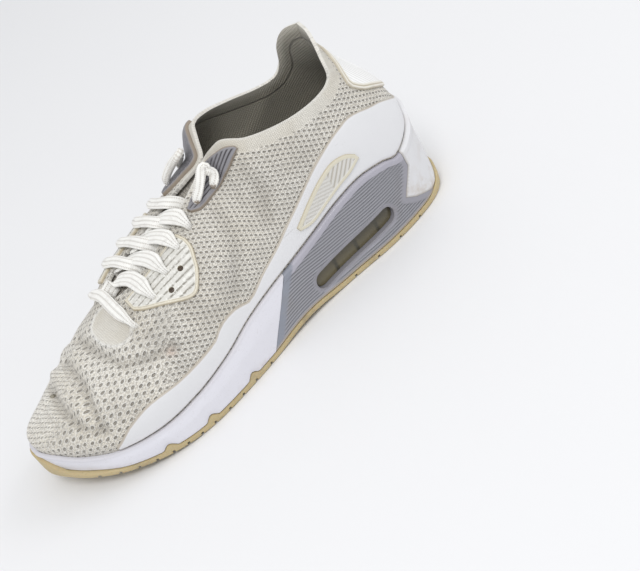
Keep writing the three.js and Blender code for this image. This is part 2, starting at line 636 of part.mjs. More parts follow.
// ---- Assembly, from the ground up ----
const GUM = 0xc9a56a;
const WHITE_FOAM = 0xdcd9e4;
const HEEL_GREY = 0x9a99a6;
const KNIT = 0xd4cfc1;
const TRIM_WHITE = 0xe3e2e2;
const CREAM = 0xdedac9;
const PETAL_GREY = 0x8f8d94;
const LACE_WHITE = 0xe6e2d8;

const body = solid(midsoleBody());
add('outsole', makeOutsole(), GUM, 0.6);
add('midsole_front', geometryOf(body.intersect(solid(frontRegion()))), WHITE_FOAM, 0.6);
add('midsole_heel', geometryOf(body.intersect(solid(heelRegion())).subtract(solid(stadium(WINDOW.radius)))),
  HEEL_GREY, 0.5);
add('heel_clip', geometryOf(body.intersect(solid(clipRegion()))), TRIM_WHITE, 0.5);
add('cushion_cell', geometryOf(solid(cellCore()).intersect(solid(stadium(WINDOW.radius - GAP)))),
  0x6f6840, 0.25);
add('insole', makeInsole(), 0x6d6b60, 0.9);
add('upper', makeUpper(), KNIT, 0.9);
add('tongue', makeTongue(), KNIT, 0.9);
add('mudguard', makeMudguard(), TRIM_WHITE, 0.45);
add('heel_tab', makeHeelTab(), CREAM, 0.5);
add('badge_plate', trim('lateral', BADGE_LOW, BADGE_HIGH, 2, 10, ON_KNIT + OVERLAY + GAP), CREAM, 0.45);
Object.keys(SIDES).forEach((side) => {
  add(`eyestay_${side}`, trim(side, EYESTAY_LOW, EYESTAY_HIGH, 6, 14), CREAM, 0.5);
  add(`petal_${side}`, trim(side, PETAL_LOW, PETAL_HIGH, 2, 12, PETAL_LIFT), PETAL_GREY, 0.6);
});
add('laces', makeLaces(), LACE_WHITE, 0.9);
Object.keys(SIDES).forEach((side) => {
  add(`lace_loop_${side}`, makeLoop(side), LACE_WHITE, 0.9);
});

export default group;
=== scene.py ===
import math

import bpy
import numpy as np
from mathutils import Matrix, Vector


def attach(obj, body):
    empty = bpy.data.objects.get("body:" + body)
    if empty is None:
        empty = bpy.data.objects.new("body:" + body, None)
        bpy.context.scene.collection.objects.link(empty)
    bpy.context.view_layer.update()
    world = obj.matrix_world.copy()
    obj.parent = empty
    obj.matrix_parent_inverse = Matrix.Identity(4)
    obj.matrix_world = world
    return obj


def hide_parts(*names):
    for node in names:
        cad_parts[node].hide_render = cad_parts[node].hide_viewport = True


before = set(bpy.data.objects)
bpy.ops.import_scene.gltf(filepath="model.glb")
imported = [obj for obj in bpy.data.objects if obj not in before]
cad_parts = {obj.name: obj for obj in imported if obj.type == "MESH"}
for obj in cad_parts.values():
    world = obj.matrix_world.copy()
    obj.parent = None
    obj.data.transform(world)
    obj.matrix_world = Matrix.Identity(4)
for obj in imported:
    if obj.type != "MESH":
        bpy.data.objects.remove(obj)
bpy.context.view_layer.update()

# ---- The studio ----
# A pale matt floor large enough to have no edge in view, soft even light from all round, and one
# large soft lamp above the lateral side. The camera looks down on that side and is rolled.
FLOOR_SIZE = 16.0
SKY_STRENGTH = 0.79


def deselect_all():
    if bpy.context.object and bpy.context.object.mode != "OBJECT":
        bpy.ops.object.mode_set(mode="OBJECT")
    bpy.ops.object.select_all(action="DESELECT")


def node(tree, kind, settings=None, inputs=None):
    """Adds a shader node, sets its own settings, and sets or links its inputs."""
    made = tree.nodes.new(kind)
    for key, value in (settings or {}).items():
        setattr(made, key, value)
    for socket, value in (inputs or {}).items():
        if isinstance(value, bpy.types.NodeSocket):
            tree.links.new(value, made.inputs[socket])
        else:
            made.inputs[socket].default_value = value
    return made


def math_node(tree, operation, first, second=0.0, third=0.0):
    made = node(tree, "ShaderNodeMath", {"operation": operation}, {0: first, 1: second, 2: third})
    return made.outputs[0]


def fade(tree, value, start, end, low=0.0, high=1.0):
    """A value that goes smoothly from low to high as another goes from start to end."""
    made = node(tree, "ShaderNodeMapRange", {"interpolation_type": "SMOOTHSTEP"},
                {0: value, 1: start, 2: end, 3: low, 4: high})
    return made.outputs[0]


def blend_colour(tree, factor, first, second):
    made = node(tree, "ShaderNodeMix", {"data_type": "RGBA"}, {0: factor})
    for socket, value in ((6, first), (7, second)):
        if isinstance(value, bpy.types.NodeSocket):
            tree.links.new(value, made.inputs[socket])
        else:
            made.inputs[socket].default_value = (*value, 1.0)
    return made.outputs[2]


def noise(tree, vector, scale, detail=3.0, roughness=0.55):
    made = node(tree, "ShaderNodeTexNoise", None,
                {"Vector": vector, "Scale": scale, "Detail": detail, "Roughness": roughness})
    return made.outputs["Fac"]


def attribute(tree, name):
    return node(tree, "ShaderNodeAttribute", {"attribute_name": name}).outputs["Fac"]


def new_material(name, roughness, **constants):
    """A material with a Principled BSDF whose constants are set on its own sockets."""
    made = bpy.data.materials.new(name)
    made.use_nodes = True
    shader = made.node_tree.nodes["Principled BSDF"]
    shader.inputs["Roughness"].default_value = roughness
    for key, value in constants.items():
        shader.inputs[key.replace("_", " ")].default_value = value
    return made, made.node_tree, shader


def bump(tree, shader, height, distance):
    made = node(tree, "ShaderNodeBump", None,
                {"Height": height, "Distance": distance, "Strength": 1.0})
    tree.links.new(made.outputs["Normal"], shader.inputs["Normal"])


def coloured(tree, shader, colour):
    tree.links.new(colour, shader.inputs["Base Color"])


def object_place(tree):
    return node(tree, "ShaderNodeTexCoord").outputs["Object"]


deselect_all()
bpy.ops.mesh.primitive_plane_add(size=FLOOR_SIZE, location=(0, 0, 0))
floor = bpy.context.active_object
floor.name = "studio_floor"
floor_paint, tree, shader = new_material("floor_paint", 0.75)
cloud = noise(tree, object_place(tree), 3.0)
tree.links.new(blend_colour(tree, cloud, (0.800, 0.800, 0.806), (0.812, 0.812, 0.818)),
               shader.inputs["Base Color"])
floor.data.materials.append(floor_paint)

studio = bpy.data.worlds.new("studio")
studio.use_nodes = True
studio.node_tree.nodes["Background"].inputs["Color"].default_value = (0.97, 0.98, 1.0, 1)
studio.node_tree.nodes["Background"].inputs["Strength"].default_value = SKY_STRENGTH
bpy.context.scene.world = studio


def soft_lamp(name, place, size, power):
    lamp = bpy.data.lights.new(name, "AREA")
    lamp.shape = "DISK"
    lamp.size = size
    lamp.energy = power
    lamp_object = bpy.data.objects.new(name, lamp)
    lamp_object.location = place
    direction = Vector(LAMP_AIM) - Vector(place)
    lamp_object.rotation_euler = direction.to_track_quat("-Z", "Y").to_euler()
    bpy.context.scene.collection.objects.link(lamp_object)


LAMP_AIM = (0, 0, 0.05)
KEY_POWER = 17.5
REAR_POWER = 5
soft_lamp("key_lamp", (0.5, 1.1, 1.9), 1.0, KEY_POWER)
soft_lamp("rear_lamp", (-1.5, 0.3, 1.3), 0.9, REAR_POWER)

CAMERA_AIM = Vector((-0.03265, 0.04164, 0.0161))
CAMERA_DISTANCE = 0.6783
CAMERA_LENS = 66.904
CAMERA_SENSOR = 36
CAMERA_HEIGHT_ANGLE = math.radians(34.32)
CAMERA_TOWARD_TOE = math.radians(17.405)
CAMERA_ROLL = math.radians(-32.152)
level = math.cos(CAMERA_HEIGHT_ANGLE)
backward = Vector((math.sin(CAMERA_TOWARD_TOE) * level, math.cos(CAMERA_TOWARD_TOE) * level,
                   math.sin(CAMERA_HEIGHT_ANGLE)))
flat_right = backward.cross(Vector((0, 0, 1))).normalized() * -1
flat_up = backward.cross(flat_right)
right = flat_right * math.cos(CAMERA_ROLL) + flat_up * math.sin(CAMERA_ROLL)
up = backward.cross(right)
place = CAMERA_AIM + backward * CAMERA_DISTANCE
camera_data = bpy.data.cameras.new("camera")
camera_data.lens = CAMERA_LENS
camera_data.sensor_width = CAMERA_SENSOR
camera = bpy.data.objects.new("camera", camera_data)
camera.matrix_world = Matrix([[*row] for row in zip((*right, 0), (*up, 0), (*backward, 0),
                                                    (*place, 1))])
bpy.context.scene.collection.objects.link(camera)
bpy.context.scene.camera = camera
bpy.context.scene.view_settings.view_transform = "Standard"

# ---- Lace loops ----
# The last stretch of the flat woven cotton lace on each petal of the collar: it comes out of the
# petal's lower hole, stands up in a folded loop, and goes back down into the upper hole.
# The shoe is drawn in millimetres on its last, as the maker draws it: u walks each side from the
# middle of the heel (0) to the middle of the toe (1), and v rises from the sole's rim (0) to the
# collar, the throat's edge or the toe's ridge (1), or down inside the sole (-1).
LENGTH = 296.0
CENTRE_SHIFT = -0.28
MM = 0.001
LATERAL, MEDIAL = 1, -1
RIM = 4.0
THROAT_START = 0.47
THROAT_END = 0.70
SMALL_STEP = 0.001


def course(stations):
    """A smooth course through rows of [t, a, b, ...]: a function that gives a, b, ... at t."""
    table = np.array(stations, float)
    t, values = table[:, 0], table[:, 1:]
    last = len(t) - 1
    before = np.maximum(np.arange(last + 1) - 1, 0)
    after = np.minimum(np.arange(last + 1) + 1, last)
    slope = (values[after] - values[before]) / (t[after] - t[before])[:, None]

    def at(where):
        x = np.clip(np.asarray(where, float), t[0], t[-1])
        k = np.clip(np.searchsorted(t, x, side="right") - 1, 0, last - 1)
        step = (t[k + 1] - t[k])[..., None]
        s = (x - t[k])[..., None] / step
        return ((1 + 2 * s) * (1 - s) ** 2 * values[k] + s * (1 - s) ** 2 * step * slope[k]
                + s * s * (3 - 2 * s) * values[k + 1] + s * s * (s - 1) * step * slope[k + 1])
    return at


def height_course(stations):
    at = course(stations)
    return lambda where: at(where)[..., 0]


outline = {
    LATERAL: course([[0, 0, 0], [0.015, 0.3, 6], [0.04, 3, 15.5], [0.09, 12, 28], [0.15, 30, 36],
                     [0.25, 60, 40], [0.38, 100, 38.5], [0.5, 140, 41.5], [0.61, 180, 48.5],
                     [0.7, 210, 51.5], [0.78, 236, 48.5], [0.86, 262, 38], [0.92, 280, 23.5],
                     [0.965, 291, 8], [0.985, 295.2, -1.5], [1, LENGTH, -9]]),
    MEDIAL: course([[0, 0, 0], [0.015, 0.3, -6], [0.04, 3, -15.5], [0.09, 12, -28],
                    [0.15, 30, -35.5], [0.25, 60, -38], [0.38, 100, -35], [0.5, 140, -36],
                    [0.61, 180, -43.5], [0.7, 213, -50], [0.78, 238, -50.5], [0.86, 263, -45.5],
                    [0.92, 280, -36.5], [0.965, 291.5, -24], [0.985, 295.2, -16],
                    [1, LENGTH, -9]]),
}
rim_height = height_course([[0, 58], [0.04, 56], [0.09, 48], [0.15, 42], [0.19, 46.5], [0.25, 50],
                            [0.31, 47.5], [0.38, 41.5], [0.44, 37.5], [0.5, 34.5], [0.56, 31],
                            [0.61, 26], [0.66, 22.8], [0.7, 21], [0.78, 18.5], [0.86, 19.5],
                            [0.92, 23.5], [0.965, 27.5], [1, 29]])
bed_height = height_course([[0, 28], [60, 27], [120, 22.5], [180, 14.5], [220, 12.5], [255, 15],
                            [LENGTH, 23]])
top_edge = {
    LATERAL: course([[0, 30, 0, 131], [0.05, 32.5, 12, 127.5], [0.1, 37.5, 22, 117],
                     [0.135, 41.5, 27, 107.5], [0.17, 50, 28.5, 103.2], [0.24, 68, 29, 103],
                     [0.31, 86, 26.5, 105.5], [0.38, 101, 21.5, 109], [0.425, 111, 14.5, 113.5],
                     [0.45, 117, 7.5, 109.5], [0.47, 121.5, 1.6, 104.5], [0.51, 134, 3.5, 98.5],
                     [0.56, 156, 7, 90.5], [0.61, 178, 8, 82.5], [0.655, 198, 5.5, 76],
                     [0.68, 210, -1, 73], [0.7, 214, -5.5, 71.5]]),
    MEDIAL: course([[0, 30, 0, 131], [0.05, 35, -12, 128], [0.1, 39, -22, 119],
                    [0.135, 42, -28, 106], [0.17, 48, -30.5, 100.5], [0.24, 62, -31.5, 102],
                    [0.31, 80, -30.5, 108], [0.38, 98, -25.5, 114.5], [0.425, 110, -17.5, 116.5],
                    [0.45, 116, -9, 111], [0.47, 121.5, -1.6, 104.8], [0.51, 134, -4.5, 99],
                    [0.56, 156, -11, 91.5], [0.61, 178, -15, 84], [0.655, 198, -15, 78],
                    [0.68, 210, -9.5, 74], [0.7, 214, -5.5, 71.5]]),
}
ridge = course([[0.7, 214, -5.5, 71.5], [0.76, 228, -8, 65.5], [0.83, 242, -11, 58.5],
                [0.9, 254, -13, 52], [0.95, 261, -14, 47.5], [1, 266, -14, 44]])
rim_lean = height_course([[0, 0.02], [0.1, 0.06], [0.25, 0.05], [0.4, 0.02], [0.6, 0.1],
                          [0.75, 0.25], [0.9, 0.38], [1, 0.3]])
top_lean = {
    LATERAL: height_course([[0, -0.25], [0.05, -0.1], [0.1, 0.15], [0.17, 0.25], [0.3, 0.5],
                            [0.425, 0.9], [0.47, 1.3], [0.51, 1.8], [0.56, 2.5], [0.7, 5]]),
    MEDIAL: height_course([[0, -0.25], [0.05, -0.1], [0.1, 0.15], [0.17, 0.25], [0.3, 0.5],
                           [0.38, 1.2], [0.425, 2.4], [0.47, 6], [0.51, 7.5], [0.56, 7.5],
                           [0.61, 6.5], [0.7, 5]]),
}
low_fullness = {
    LATERAL: height_course([[0, 0.38], [0.3, 0.36], [0.5, 0.42], [0.7, 0.5], [0.85, 0.52],
                            [1, 0.46]]),
    MEDIAL: height_course([[0, 0.38], [0.3, 0.36], [0.5, 0.4], [0.7, 0.4], [0.8, 0.37],
                           [0.92, 0.34], [1, 0.46]]),
}
high_fullness = {
    LATERAL: height_course([[0, 0.34], [0.3, 0.34], [0.47, 0.4], [0.6, 0.5], [0.7, 0.5],
                            [0.85, 0.46], [1, 0.4]]),
    MEDIAL: height_course([[0, 0.34], [0.3, 0.34], [0.38, 0.44], [0.43, 0.56], [0.47, 0.66],
                           [0.52, 0.68], [0.56, 0.64], [0.61, 0.56], [0.66, 0.46], [0.7, 0.4],
                           [0.85, 0.34], [1, 0.4]]),
}


def unit(vectors):
    return vectors / np.maximum(np.linalg.norm(vectors, axis=-1, keepdims=True), 1e-9)


def steps(start, end, count):
    return np.linspace(start, end, count + 1)


def smooth_step(x, low, high):
    s = np.clip((x - low) / (high - low), 0, 1)
    return s * s * (3 - 2 * s)


def outward(side, u):
    """Level direction out of the sole's outline."""
    u = np.asarray(u, float)
    ahead = outline[side](np.minimum(u + SMALL_STEP, 1)) - outline[side](np.maximum(u - SMALL_STEP, 0))
    out = np.stack([-ahead[..., 1], ahead[..., 0], 0 * u], axis=-1) * side
    out = np.where((u <= SMALL_STEP)[..., None], np.array([-1.0, 0, 0]), out)
    return unit(np.where((u >= 1 - SMALL_STEP)[..., None], np.array([1.0, 0, 0]), out))


def sole_wall(side, u, inset, z):
    """A point of the sole's wall, inset from the outline, at height z."""
    flat = outline[side](u)
    point = np.concatenate([flat, np.broadcast_to(z, np.shape(u))[..., None]], axis=-1)
    return point - outward(side, u) * np.broadcast_to(inset, np.shape(u))[..., None]


def top_direction(side, u):
    """Direction in which the wall leaves its top edge, down and outwards."""
    u = np.asarray(u, float)
    down = unit(outward(side, u) * top_lean[side](u)[..., None] + np.array([0, 0, -1.0]))
    across = unit(np.array([0.1, side, -0.12]))
    blend = smooth_step(u, THROAT_START, THROAT_END)[..., None]
    behind = unit(down * (1 - blend) + across * blend)
    along = unit(ridge(np.minimum(u + SMALL_STEP, 1)) - ridge(u - SMALL_STEP))
    gone = np.clip((u - THROAT_END) / (1 - THROAT_END), 0, 1)
    turn = (gone ** 1.2)[..., None]
    sideways = unit(np.stack([0.1 * (1 - turn[..., 0]), side + 0 * u, -0.12 * (1 - gone)], axis=-1))
    front = sideways * np.cos(turn * math.pi / 2) + along * np.sin(turn * math.pi / 2)
    return np.where((u >= THROAT_END)[..., None], front, behind)


def wall_top(side, u):
    u = np.asarray(u, float)
    return np.where((u < THROAT_END)[..., None], top_edge[side](u), ridge(u))


FOOT_TURN = 2.6


def skin(side, u, v):
    """Outer face of the upper at walk u and rise v, in millimetres."""
    u, v = np.broadcast_arrays(np.asarray(u, float), np.asarray(v, float))
    foot = sole_wall(side, u, RIM, rim_height(u))
    out = outward(side, u)
    w = np.clip(v, 0, 1)[..., None]
    top = wall_top(side, u)
    span = np.linalg.norm(top - foot, axis=-1, keepdims=True)
    leaving = unit(out * rim_lean(u)[..., None] + np.array([0, 0, 1.0]))
    low = foot + leaving * span * low_fullness[side](u)[..., None]
    high = top + top_direction(side, u) * span * high_fullness[side](u)[..., None]
    wall = ((1 - w) ** 3 * foot + 3 * w * (1 - w) ** 2 * low + 3 * w * w * (1 - w) * high
            + w ** 3 * top)
    depth = np.clip(-v, 0, 1)[..., None]
    below = foot + (bed_height(foot[..., 0]) + 0.3 - foot[..., 2])[..., None] * depth * np.array(
        [0, 0, 1.0]) - out * FOOT_TURN * depth ** 2
    return np.where((v < 0)[..., None], below, wall)


def skin_normal(side, u, v):
    u, v = np.broadcast_arrays(np.asarray(u, float), np.asarray(v, float))
    e = 0.004
    rise = skin(side, u, np.minimum(v + e, 1)) - skin(side, u, np.maximum(v - e, -1))
    onward = skin(side, np.minimum(u + e, 1), v) - skin(side, np.maximum(u - e, 0), v)
    end = (u <= e) | (u >= 1 - e)
    level = np.stack([0 * u, np.where(u <= e, 1, -1) * side, 0 * u], axis=-1)
    onward = np.where(end[..., None], level, onward)
    return unit(np.cross(onward, rise)) * -side


def above(side, u, v, height):
    return skin(side, u, v) + skin_normal(side, u, v) * np.asarray(height, float)[..., None]


def in_row(points):
    """From the shoe's own millimetres to metres about the middle of its footprint."""
    return (points + np.array([-LENGTH / 2, CENTRE_SHIFT, 0])) * MM


def laid_sheet(name, points, uv=None, attributes=None):
    """A subdivided plane whose corners are laid on a grid of points, in millimetres, with meeting
    edges merged and faces outwards. uv and attributes have one value for each point."""
    rows, columns = points.shape[:2]
    deselect_all()
    bpy.ops.mesh.primitive_grid_add(x_subdivisions=columns - 1, y_subdivisions=rows - 1, size=0.1)
    piece = bpy.context.active_object
    piece.name = piece.data.name = name
    piece.data.vertices.foreach_set("co", in_row(points).reshape(-1).astype(np.float32))
    for key, values in (attributes or {}).items():
        layer = piece.data.attributes.new(key, "FLOAT", "POINT")
        layer.data.foreach_set("value", np.ascontiguousarray(values, np.float32).reshape(-1))
    if uv is not None:
        corner = np.empty(len(piece.data.loops), np.int32)
        piece.data.loops.foreach_get("vertex_index", corner)
        flat = np.asarray(uv, np.float32).reshape(-1, 2)[corner]
        piece.data.uv_layers.active.data.foreach_set("uv", flat.reshape(-1))
    merge_and_face_out(piece)
    return piece


MERGE_WITHIN = 0.00002


def merge_and_face_out(piece):
    bpy.context.view_layer.objects.active = piece
    bpy.ops.object.mode_set(mode="EDIT")
    bpy.ops.mesh.select_all(action="SELECT")
    bpy.ops.mesh.remove_doubles(threshold=MERGE_WITHIN)
    bpy.ops.mesh.normals_make_consistent(inside=False)
    bpy.ops.object.mode_set(mode="OBJECT")


def smooth_shaded(piece, angle=40):
    deselect_all()
    piece.select_set(True)
    bpy.context.view_layer.objects.active = piece
    bpy.ops.object.shade_smooth_by_angle(angle=math.radians(angle))


def apply_modifier(piece, kind, settings):
    deselect_all()
    piece.select_set(True)
    bpy.context.view_layer.objects.active = piece
    made = piece.modifiers.new(kind.lower(), kind)
    for key, value in settings.items():
        setattr(made, key, value)
    bpy.ops.object.modifier_apply(modifier=made.name)


def smooth_path(points, count):
    """Points at even spacing along a smooth curve through the given ones."""
    points = np.asarray(points, float)
    chord = np.concatenate([[0], np.cumsum(np.linalg.norm(np.diff(points, axis=0), axis=1))])
    fine = course(np.column_stack([chord, points]))(np.linspace(0, chord[-1], 400))
    along = np.concatenate([[0], np.cumsum(np.linalg.norm(np.diff(fine, axis=0), axis=1))])
    even = np.linspace(0, along[-1], count)
    return np.column_stack([np.interp(even, along, fine[:, k]) for k in range(3)])


LACE_SIDES = 28
LACE_RIBS = 3


def woven_lace(name, path, broad, half_width, half_thick, twist=None):
    """A flat lace along a path: three woven ribs across its width, ends closed to a point. broad
    gives the direction of its width at each point; widths may change along it."""
    count = len(path)
    along = unit(np.gradient(path, axis=0))
    broad = unit(broad - along * np.sum(broad * along, axis=1, keepdims=True))
    face = unit(np.cross(along, broad))
    if twist is not None:
        turned = np.asarray(twist)[:, None]
        broad, face = (broad * np.cos(turned) + face * np.sin(turned),
                       face * np.cos(turned) - broad * np.sin(turned))
    angle = np.linspace(0, 2 * math.pi, LACE_SIDES + 1)
    wide = np.sign(np.cos(angle)) * np.abs(np.cos(angle)) ** 0.8
    rib = 1 + 0.16 * np.cos(wide * LACE_RIBS * math.pi)
    thick = np.sign(np.sin(angle)) * np.abs(np.sin(angle)) ** 0.62 * rib
    half_width = np.broadcast_to(half_width, count)[:, None]
    half_thick = np.broadcast_to(half_thick, count)[:, None]
    rings = (path[:, None, :] + broad[:, None, :] * (half_width * wide)[..., None]
             + face[:, None, :] * (half_thick * thick)[..., None])
    rings = np.concatenate([np.repeat(path[:1, None, :], LACE_SIDES + 1, axis=1), rings,
                            np.repeat(path[-1:, None, :], LACE_SIDES + 1, axis=1)])
    run = np.concatenate([[0], np.cumsum(np.linalg.norm(np.diff(path, axis=0), axis=1))])
    run = np.concatenate([run[:1], run, run[-1:]])
    uv = np.stack(np.broadcast_arrays(run[:, None], (half_width.mean() * wide)[None, :]), axis=-1)
    return laid_sheet(name, rings, uv * MM)


def times(tree, first, second):
    return math_node(tree, "MULTIPLY", first, second)


def plus(tree, first, second):
    return math_node(tree, "ADD", first, second)


def minus(tree, first, second):
    return math_node(tree, "SUBTRACT", first, second)


def lace_weave():
    """Cotton braid: short V stitches along each rib, painted shade between the ribs, a little grey."""
    made, tree, shader = new_material("lace_cotton", 0.92, Sheen_Weight=0.25, Sheen_Roughness=0.5)
    place = node(tree, "ShaderNodeUVMap", {"uv_map": "UVMap"}).outputs[0]
    split = node(tree, "ShaderNodeSeparateXYZ", None, {0: place})
    rib = math_node(tree, "PINGPONG", times(tree, split.outputs[1], 430.0), 0.5)
    stitch = math_node(tree, "MULTIPLY_ADD", split.outputs[0], 900.0, times(tree, rib, 1.4))
    braid = math_node(tree, "PINGPONG", stitch, 0.5)
    height = plus(tree, fade(tree, rib, 0.0, 0.3), fade(tree, braid, 0.0, 0.4, 0, 0.7))
    speck = noise(tree, object_place(tree), 240.0, 4.0)
    # Painted shade: the low parts of the weave are coloured darker, the raised ones lighter.
    colour = blend_colour(tree, fade(tree, height, 0.15, 1.3), (0.64, 0.61, 0.56),
                          (0.92, 0.91, 0.87))
    grey = times(tree, fade(tree, speck, 0.50, 0.75), 0.35)
    coloured(tree, shader, blend_colour(tree, grey, colour, (0.50, 0.47, 0.43)))
    bump(tree, shader, height, 0.00022)
    return made


lace_cotton = lace_weave()
LOOP_ROUTE = np.array([[0.5265, 0.895, 0.3], [0.526, 0.895, 4.0], [0.517, 0.9, 6.6],
                       [0.503, 0.92, 8.4], [0.487, 0.935, 9.2], [0.474, 0.925, 8.8],
                       [0.468, 0.895, 7.6], [0.473, 0.865, 6.2], [0.483, 0.85, 5.5],
                       [0.4925, 0.844, 4.0], [0.494, 0.843, 0.3]])
LOOP_HALF_WIDTH = 2.6
LOOP_HALF_THICK = 1.9
LOOP_HOLE_SHARE = 0.66
LOOP_POINTS = 44

for side, side_name in ((LATERAL, "lateral"), (MEDIAL, "medial")):
    route = smooth_path(above(side, LOOP_ROUTE[:, 0], LOOP_ROUTE[:, 1], LOOP_ROUTE[:, 2]),
                        LOOP_POINTS)
    out_of_knit = skin_normal(side, LOOP_ROUTE[:, 0].mean(), LOOP_ROUTE[:, 1].mean())
    across = np.cross(np.gradient(route, axis=0), out_of_knit)
    t = np.linspace(0, 1, LOOP_POINTS)
    in_hole = LOOP_HOLE_SHARE + 0.34 * smooth_step(np.minimum(t, 1 - t), 0.02, 0.14)
    loop = woven_lace(f"loop_{side_name}", route, across,
                      (LOOP_HALF_WIDTH + 0.35 * np.sin(t * math.pi)) * in_hole,
                      (LOOP_HALF_THICK + 0.1 * np.sin(t * math.pi)) * in_hole,
                      twist=0.5 * np.sin(t * 2 * math.pi))
    loop.data.materials.append(lace_cotton)
    smooth_shaded(loop, 60)
    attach(loop, "root")
    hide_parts(f"lace_loop_{side_name}")

# ---- Outsole ----
# Gum rubber tread, moulded in one piece with a bumper that wraps up over the toe and a thin lip
# up the heel, cut across by flex grooves and cemented under the midsole.
TREAD = 4.2
GAP = 0.3
TOE_SPRING = 14.0
HEEL_BEVEL = 4.0
ARCH_RISE = 2.4
TOE_LIFT_FROM = 205
HEEL_BEVEL_TO = 22
ARCH_MIDDLE = 128
ARCH_HALF = 34
WRAP_HEEL_TO = 0.14
WRAP_TOE_FROM = 0.85
FLEX_NOTCHES = (178, 211, 238.5)
FLEX_NOTCH_HEIGHT = 3.2
FLEX_NOTCH_HALF = 4.5
SOLE_COLUMNS = 200
bumper_top = {
    LATERAL: height_course([[0, 11], [0.05, 9.5], [0.1, 6], [0.14, 4], [0.9, 5.5], [0.93, 9.5],
                            [0.95, 14], [0.965, 18.5], [0.98, 23.5], [1, 27.5]]),
    MEDIAL: height_course([[0, 11], [0.05, 9.5], [0.1, 6], [0.14, 4], [0.86, 6], [0.9, 13],
                           [0.93, 18], [0.96, 23.5], [1, 27.5]]),
}
bumper_depth = height_course([[0, 1.6], [0.08, 1.6], [0.14, 0.1], [0.85, 0.1], [0.92, 2.2],
                              [1, 2.4]])


def ground_lift(x):
    toe = np.where(x > TOE_LIFT_FROM, TOE_SPRING * ((x - TOE_LIFT_FROM) / 95) ** 2, 0)
    heel = np.where(x < HEEL_BEVEL_TO, HEEL_BEVEL * ((HEEL_BEVEL_TO - x) / HEEL_BEVEL_TO) ** 2, 0)
    off = x - ARCH_MIDDLE
    arch = np.where(np.abs(off) < ARCH_HALF,
                    ARCH_RISE * np.cos(off / (2 * ARCH_HALF) * math.pi) ** 2, 0)
    return toe + heel + arch


def notch_rise(x):
    """The sole's edge arches up at each flex notch."""
    return sum(FLEX_NOTCH_HEIGHT * np.clip(1 - ((x - at) / FLEX_NOTCH_HALF) ** 2, 0, 1) ** 1.5
               for at in FLEX_NOTCHES)


def lift_at(side, u):
    return ground_lift(outline[side](u)[..., 0])


def plan_shell(name, profile, columns, u_from=0.0, u_to=1.0):
    """A closed body of the shoe's plan. profile gives, for one side and its walk, the rows of
    points from the underside to the top face; both faces are closed on the middle line."""
    walk = steps(u_from, u_to, columns)
    halves = []
    for side in (LATERAL, MEDIAL):
        rows = profile(side, walk)
        halves.append([np.asarray(row) for row in rows])
    middle = [(near + far) / 2 for near, far in ((halves[0][0], halves[1][0]),
                                                 (halves[0][-1], halves[1][-1]))]
    grids = [np.stack([middle[0], *half, middle[1]]) for half in halves]
    whole = np.concatenate([grids[0], grids[1][:, ::-1][:, (1 if u_to == 1.0 else 0):]], axis=1)
    return laid_sheet(name, whole)


def outsole_rows(side, u):
    x = outline[side](u)[..., 0]
    lift = lift_at(side, u)
    rise = notch_rise(x)
    flush = lift + TREAD - GAP + rise
    between = (u > WRAP_HEEL_TO) & (u < WRAP_TOE_FROM)
    top = np.where(between, flush, np.maximum(flush, bumper_top[side](u)))
    depth = bumper_depth(u)
    edge = np.maximum(depth + 0.1, 1.5)
    return [sole_wall(side, u, 2.0, lift), sole_wall(side, u, 1.2, lift + 0.05),
            sole_wall(side, u, 0.4, lift + 0.7), sole_wall(side, u, 0.15, lift + 2 + rise * 0.5),
            sole_wall(side, u, 0.1, top - 0.9), sole_wall(side, u, 0.3, top - 0.3),
            sole_wall(side, u, 0.5 * depth + 0.2, top - 0.02),
            sole_wall(side, u, edge, np.where(top > flush + 0.2, top - 0.3, flush)),
            sole_wall(side, u, edge + 0.1, lift + TREAD - GAP)]


outsole = plan_shell("tread", outsole_rows, SOLE_COLUMNS)


BAR_WIDTH = 130.0


def cross_bar(name, outline_points):
    """A side-view outline [x, z] carried straight through the shoe from side to side."""
    count = len(outline_points)
    deselect_all()
    bpy.ops.mesh.primitive_circle_add(vertices=count, radius=0.01, fill_type="NGON")
    bar = bpy.context.active_object
    bar.name = name
    flat = np.array([[x, -BAR_WIDTH / 2, z] for x, z in outline_points])
    bar.data.vertices.foreach_set("co", in_row(flat).reshape(-1).astype(np.float32))
    bpy.ops.object.mode_set(mode="EDIT")
    bpy.ops.mesh.select_all(action="SELECT")
    bpy.ops.mesh.extrude_region_move(TRANSFORM_OT_translate={"value": (0, BAR_WIDTH * MM, 0)})
    bpy.ops.mesh.select_all(action="SELECT")
    bpy.ops.mesh.normals_make_consistent(inside=False)
    bpy.ops.object.mode_set(mode="OBJECT")
    return bar


def joined(pieces, name):
    deselect_all()
    for piece in pieces:
        piece.select_set(True)
    bpy.context.view_layer.objects.active = pieces[0]
    bpy.ops.object.join()
    pieces[0].name = pieces[0].data.name = name
    return pieces[0]


def cut_with(piece, cutter, operation="DIFFERENCE"):
    apply_modifier(piece, "BOOLEAN", {"object": cutter, "operation": operation, "solver": "EXACT"})
    bpy.data.objects.remove(cutter)


GROOVES = (38, 56, 74, 92, 165, 178, 189, 200, 211, 220.5, 229.5, 238.5, 248, 257.5, 267, 276.5)
GROOVE_DEPTH = 2.2
GROOVE_HALF = 1.0
GROOVE_TOP_HALF = 0.75
grooves = []
for at in GROOVES:
    ceiling = float(ground_lift(np.array(at))) + GROOVE_DEPTH
    grooves.append(cross_bar("groove", [(at - GROOVE_HALF, -1), (at + GROOVE_HALF, -1),
                                        (at + GROOVE_TOP_HALF, ceiling),
                                        (at - GROOVE_TOP_HALF, ceiling)]))
cut_with(outsole, joined(grooves, "grooves"))


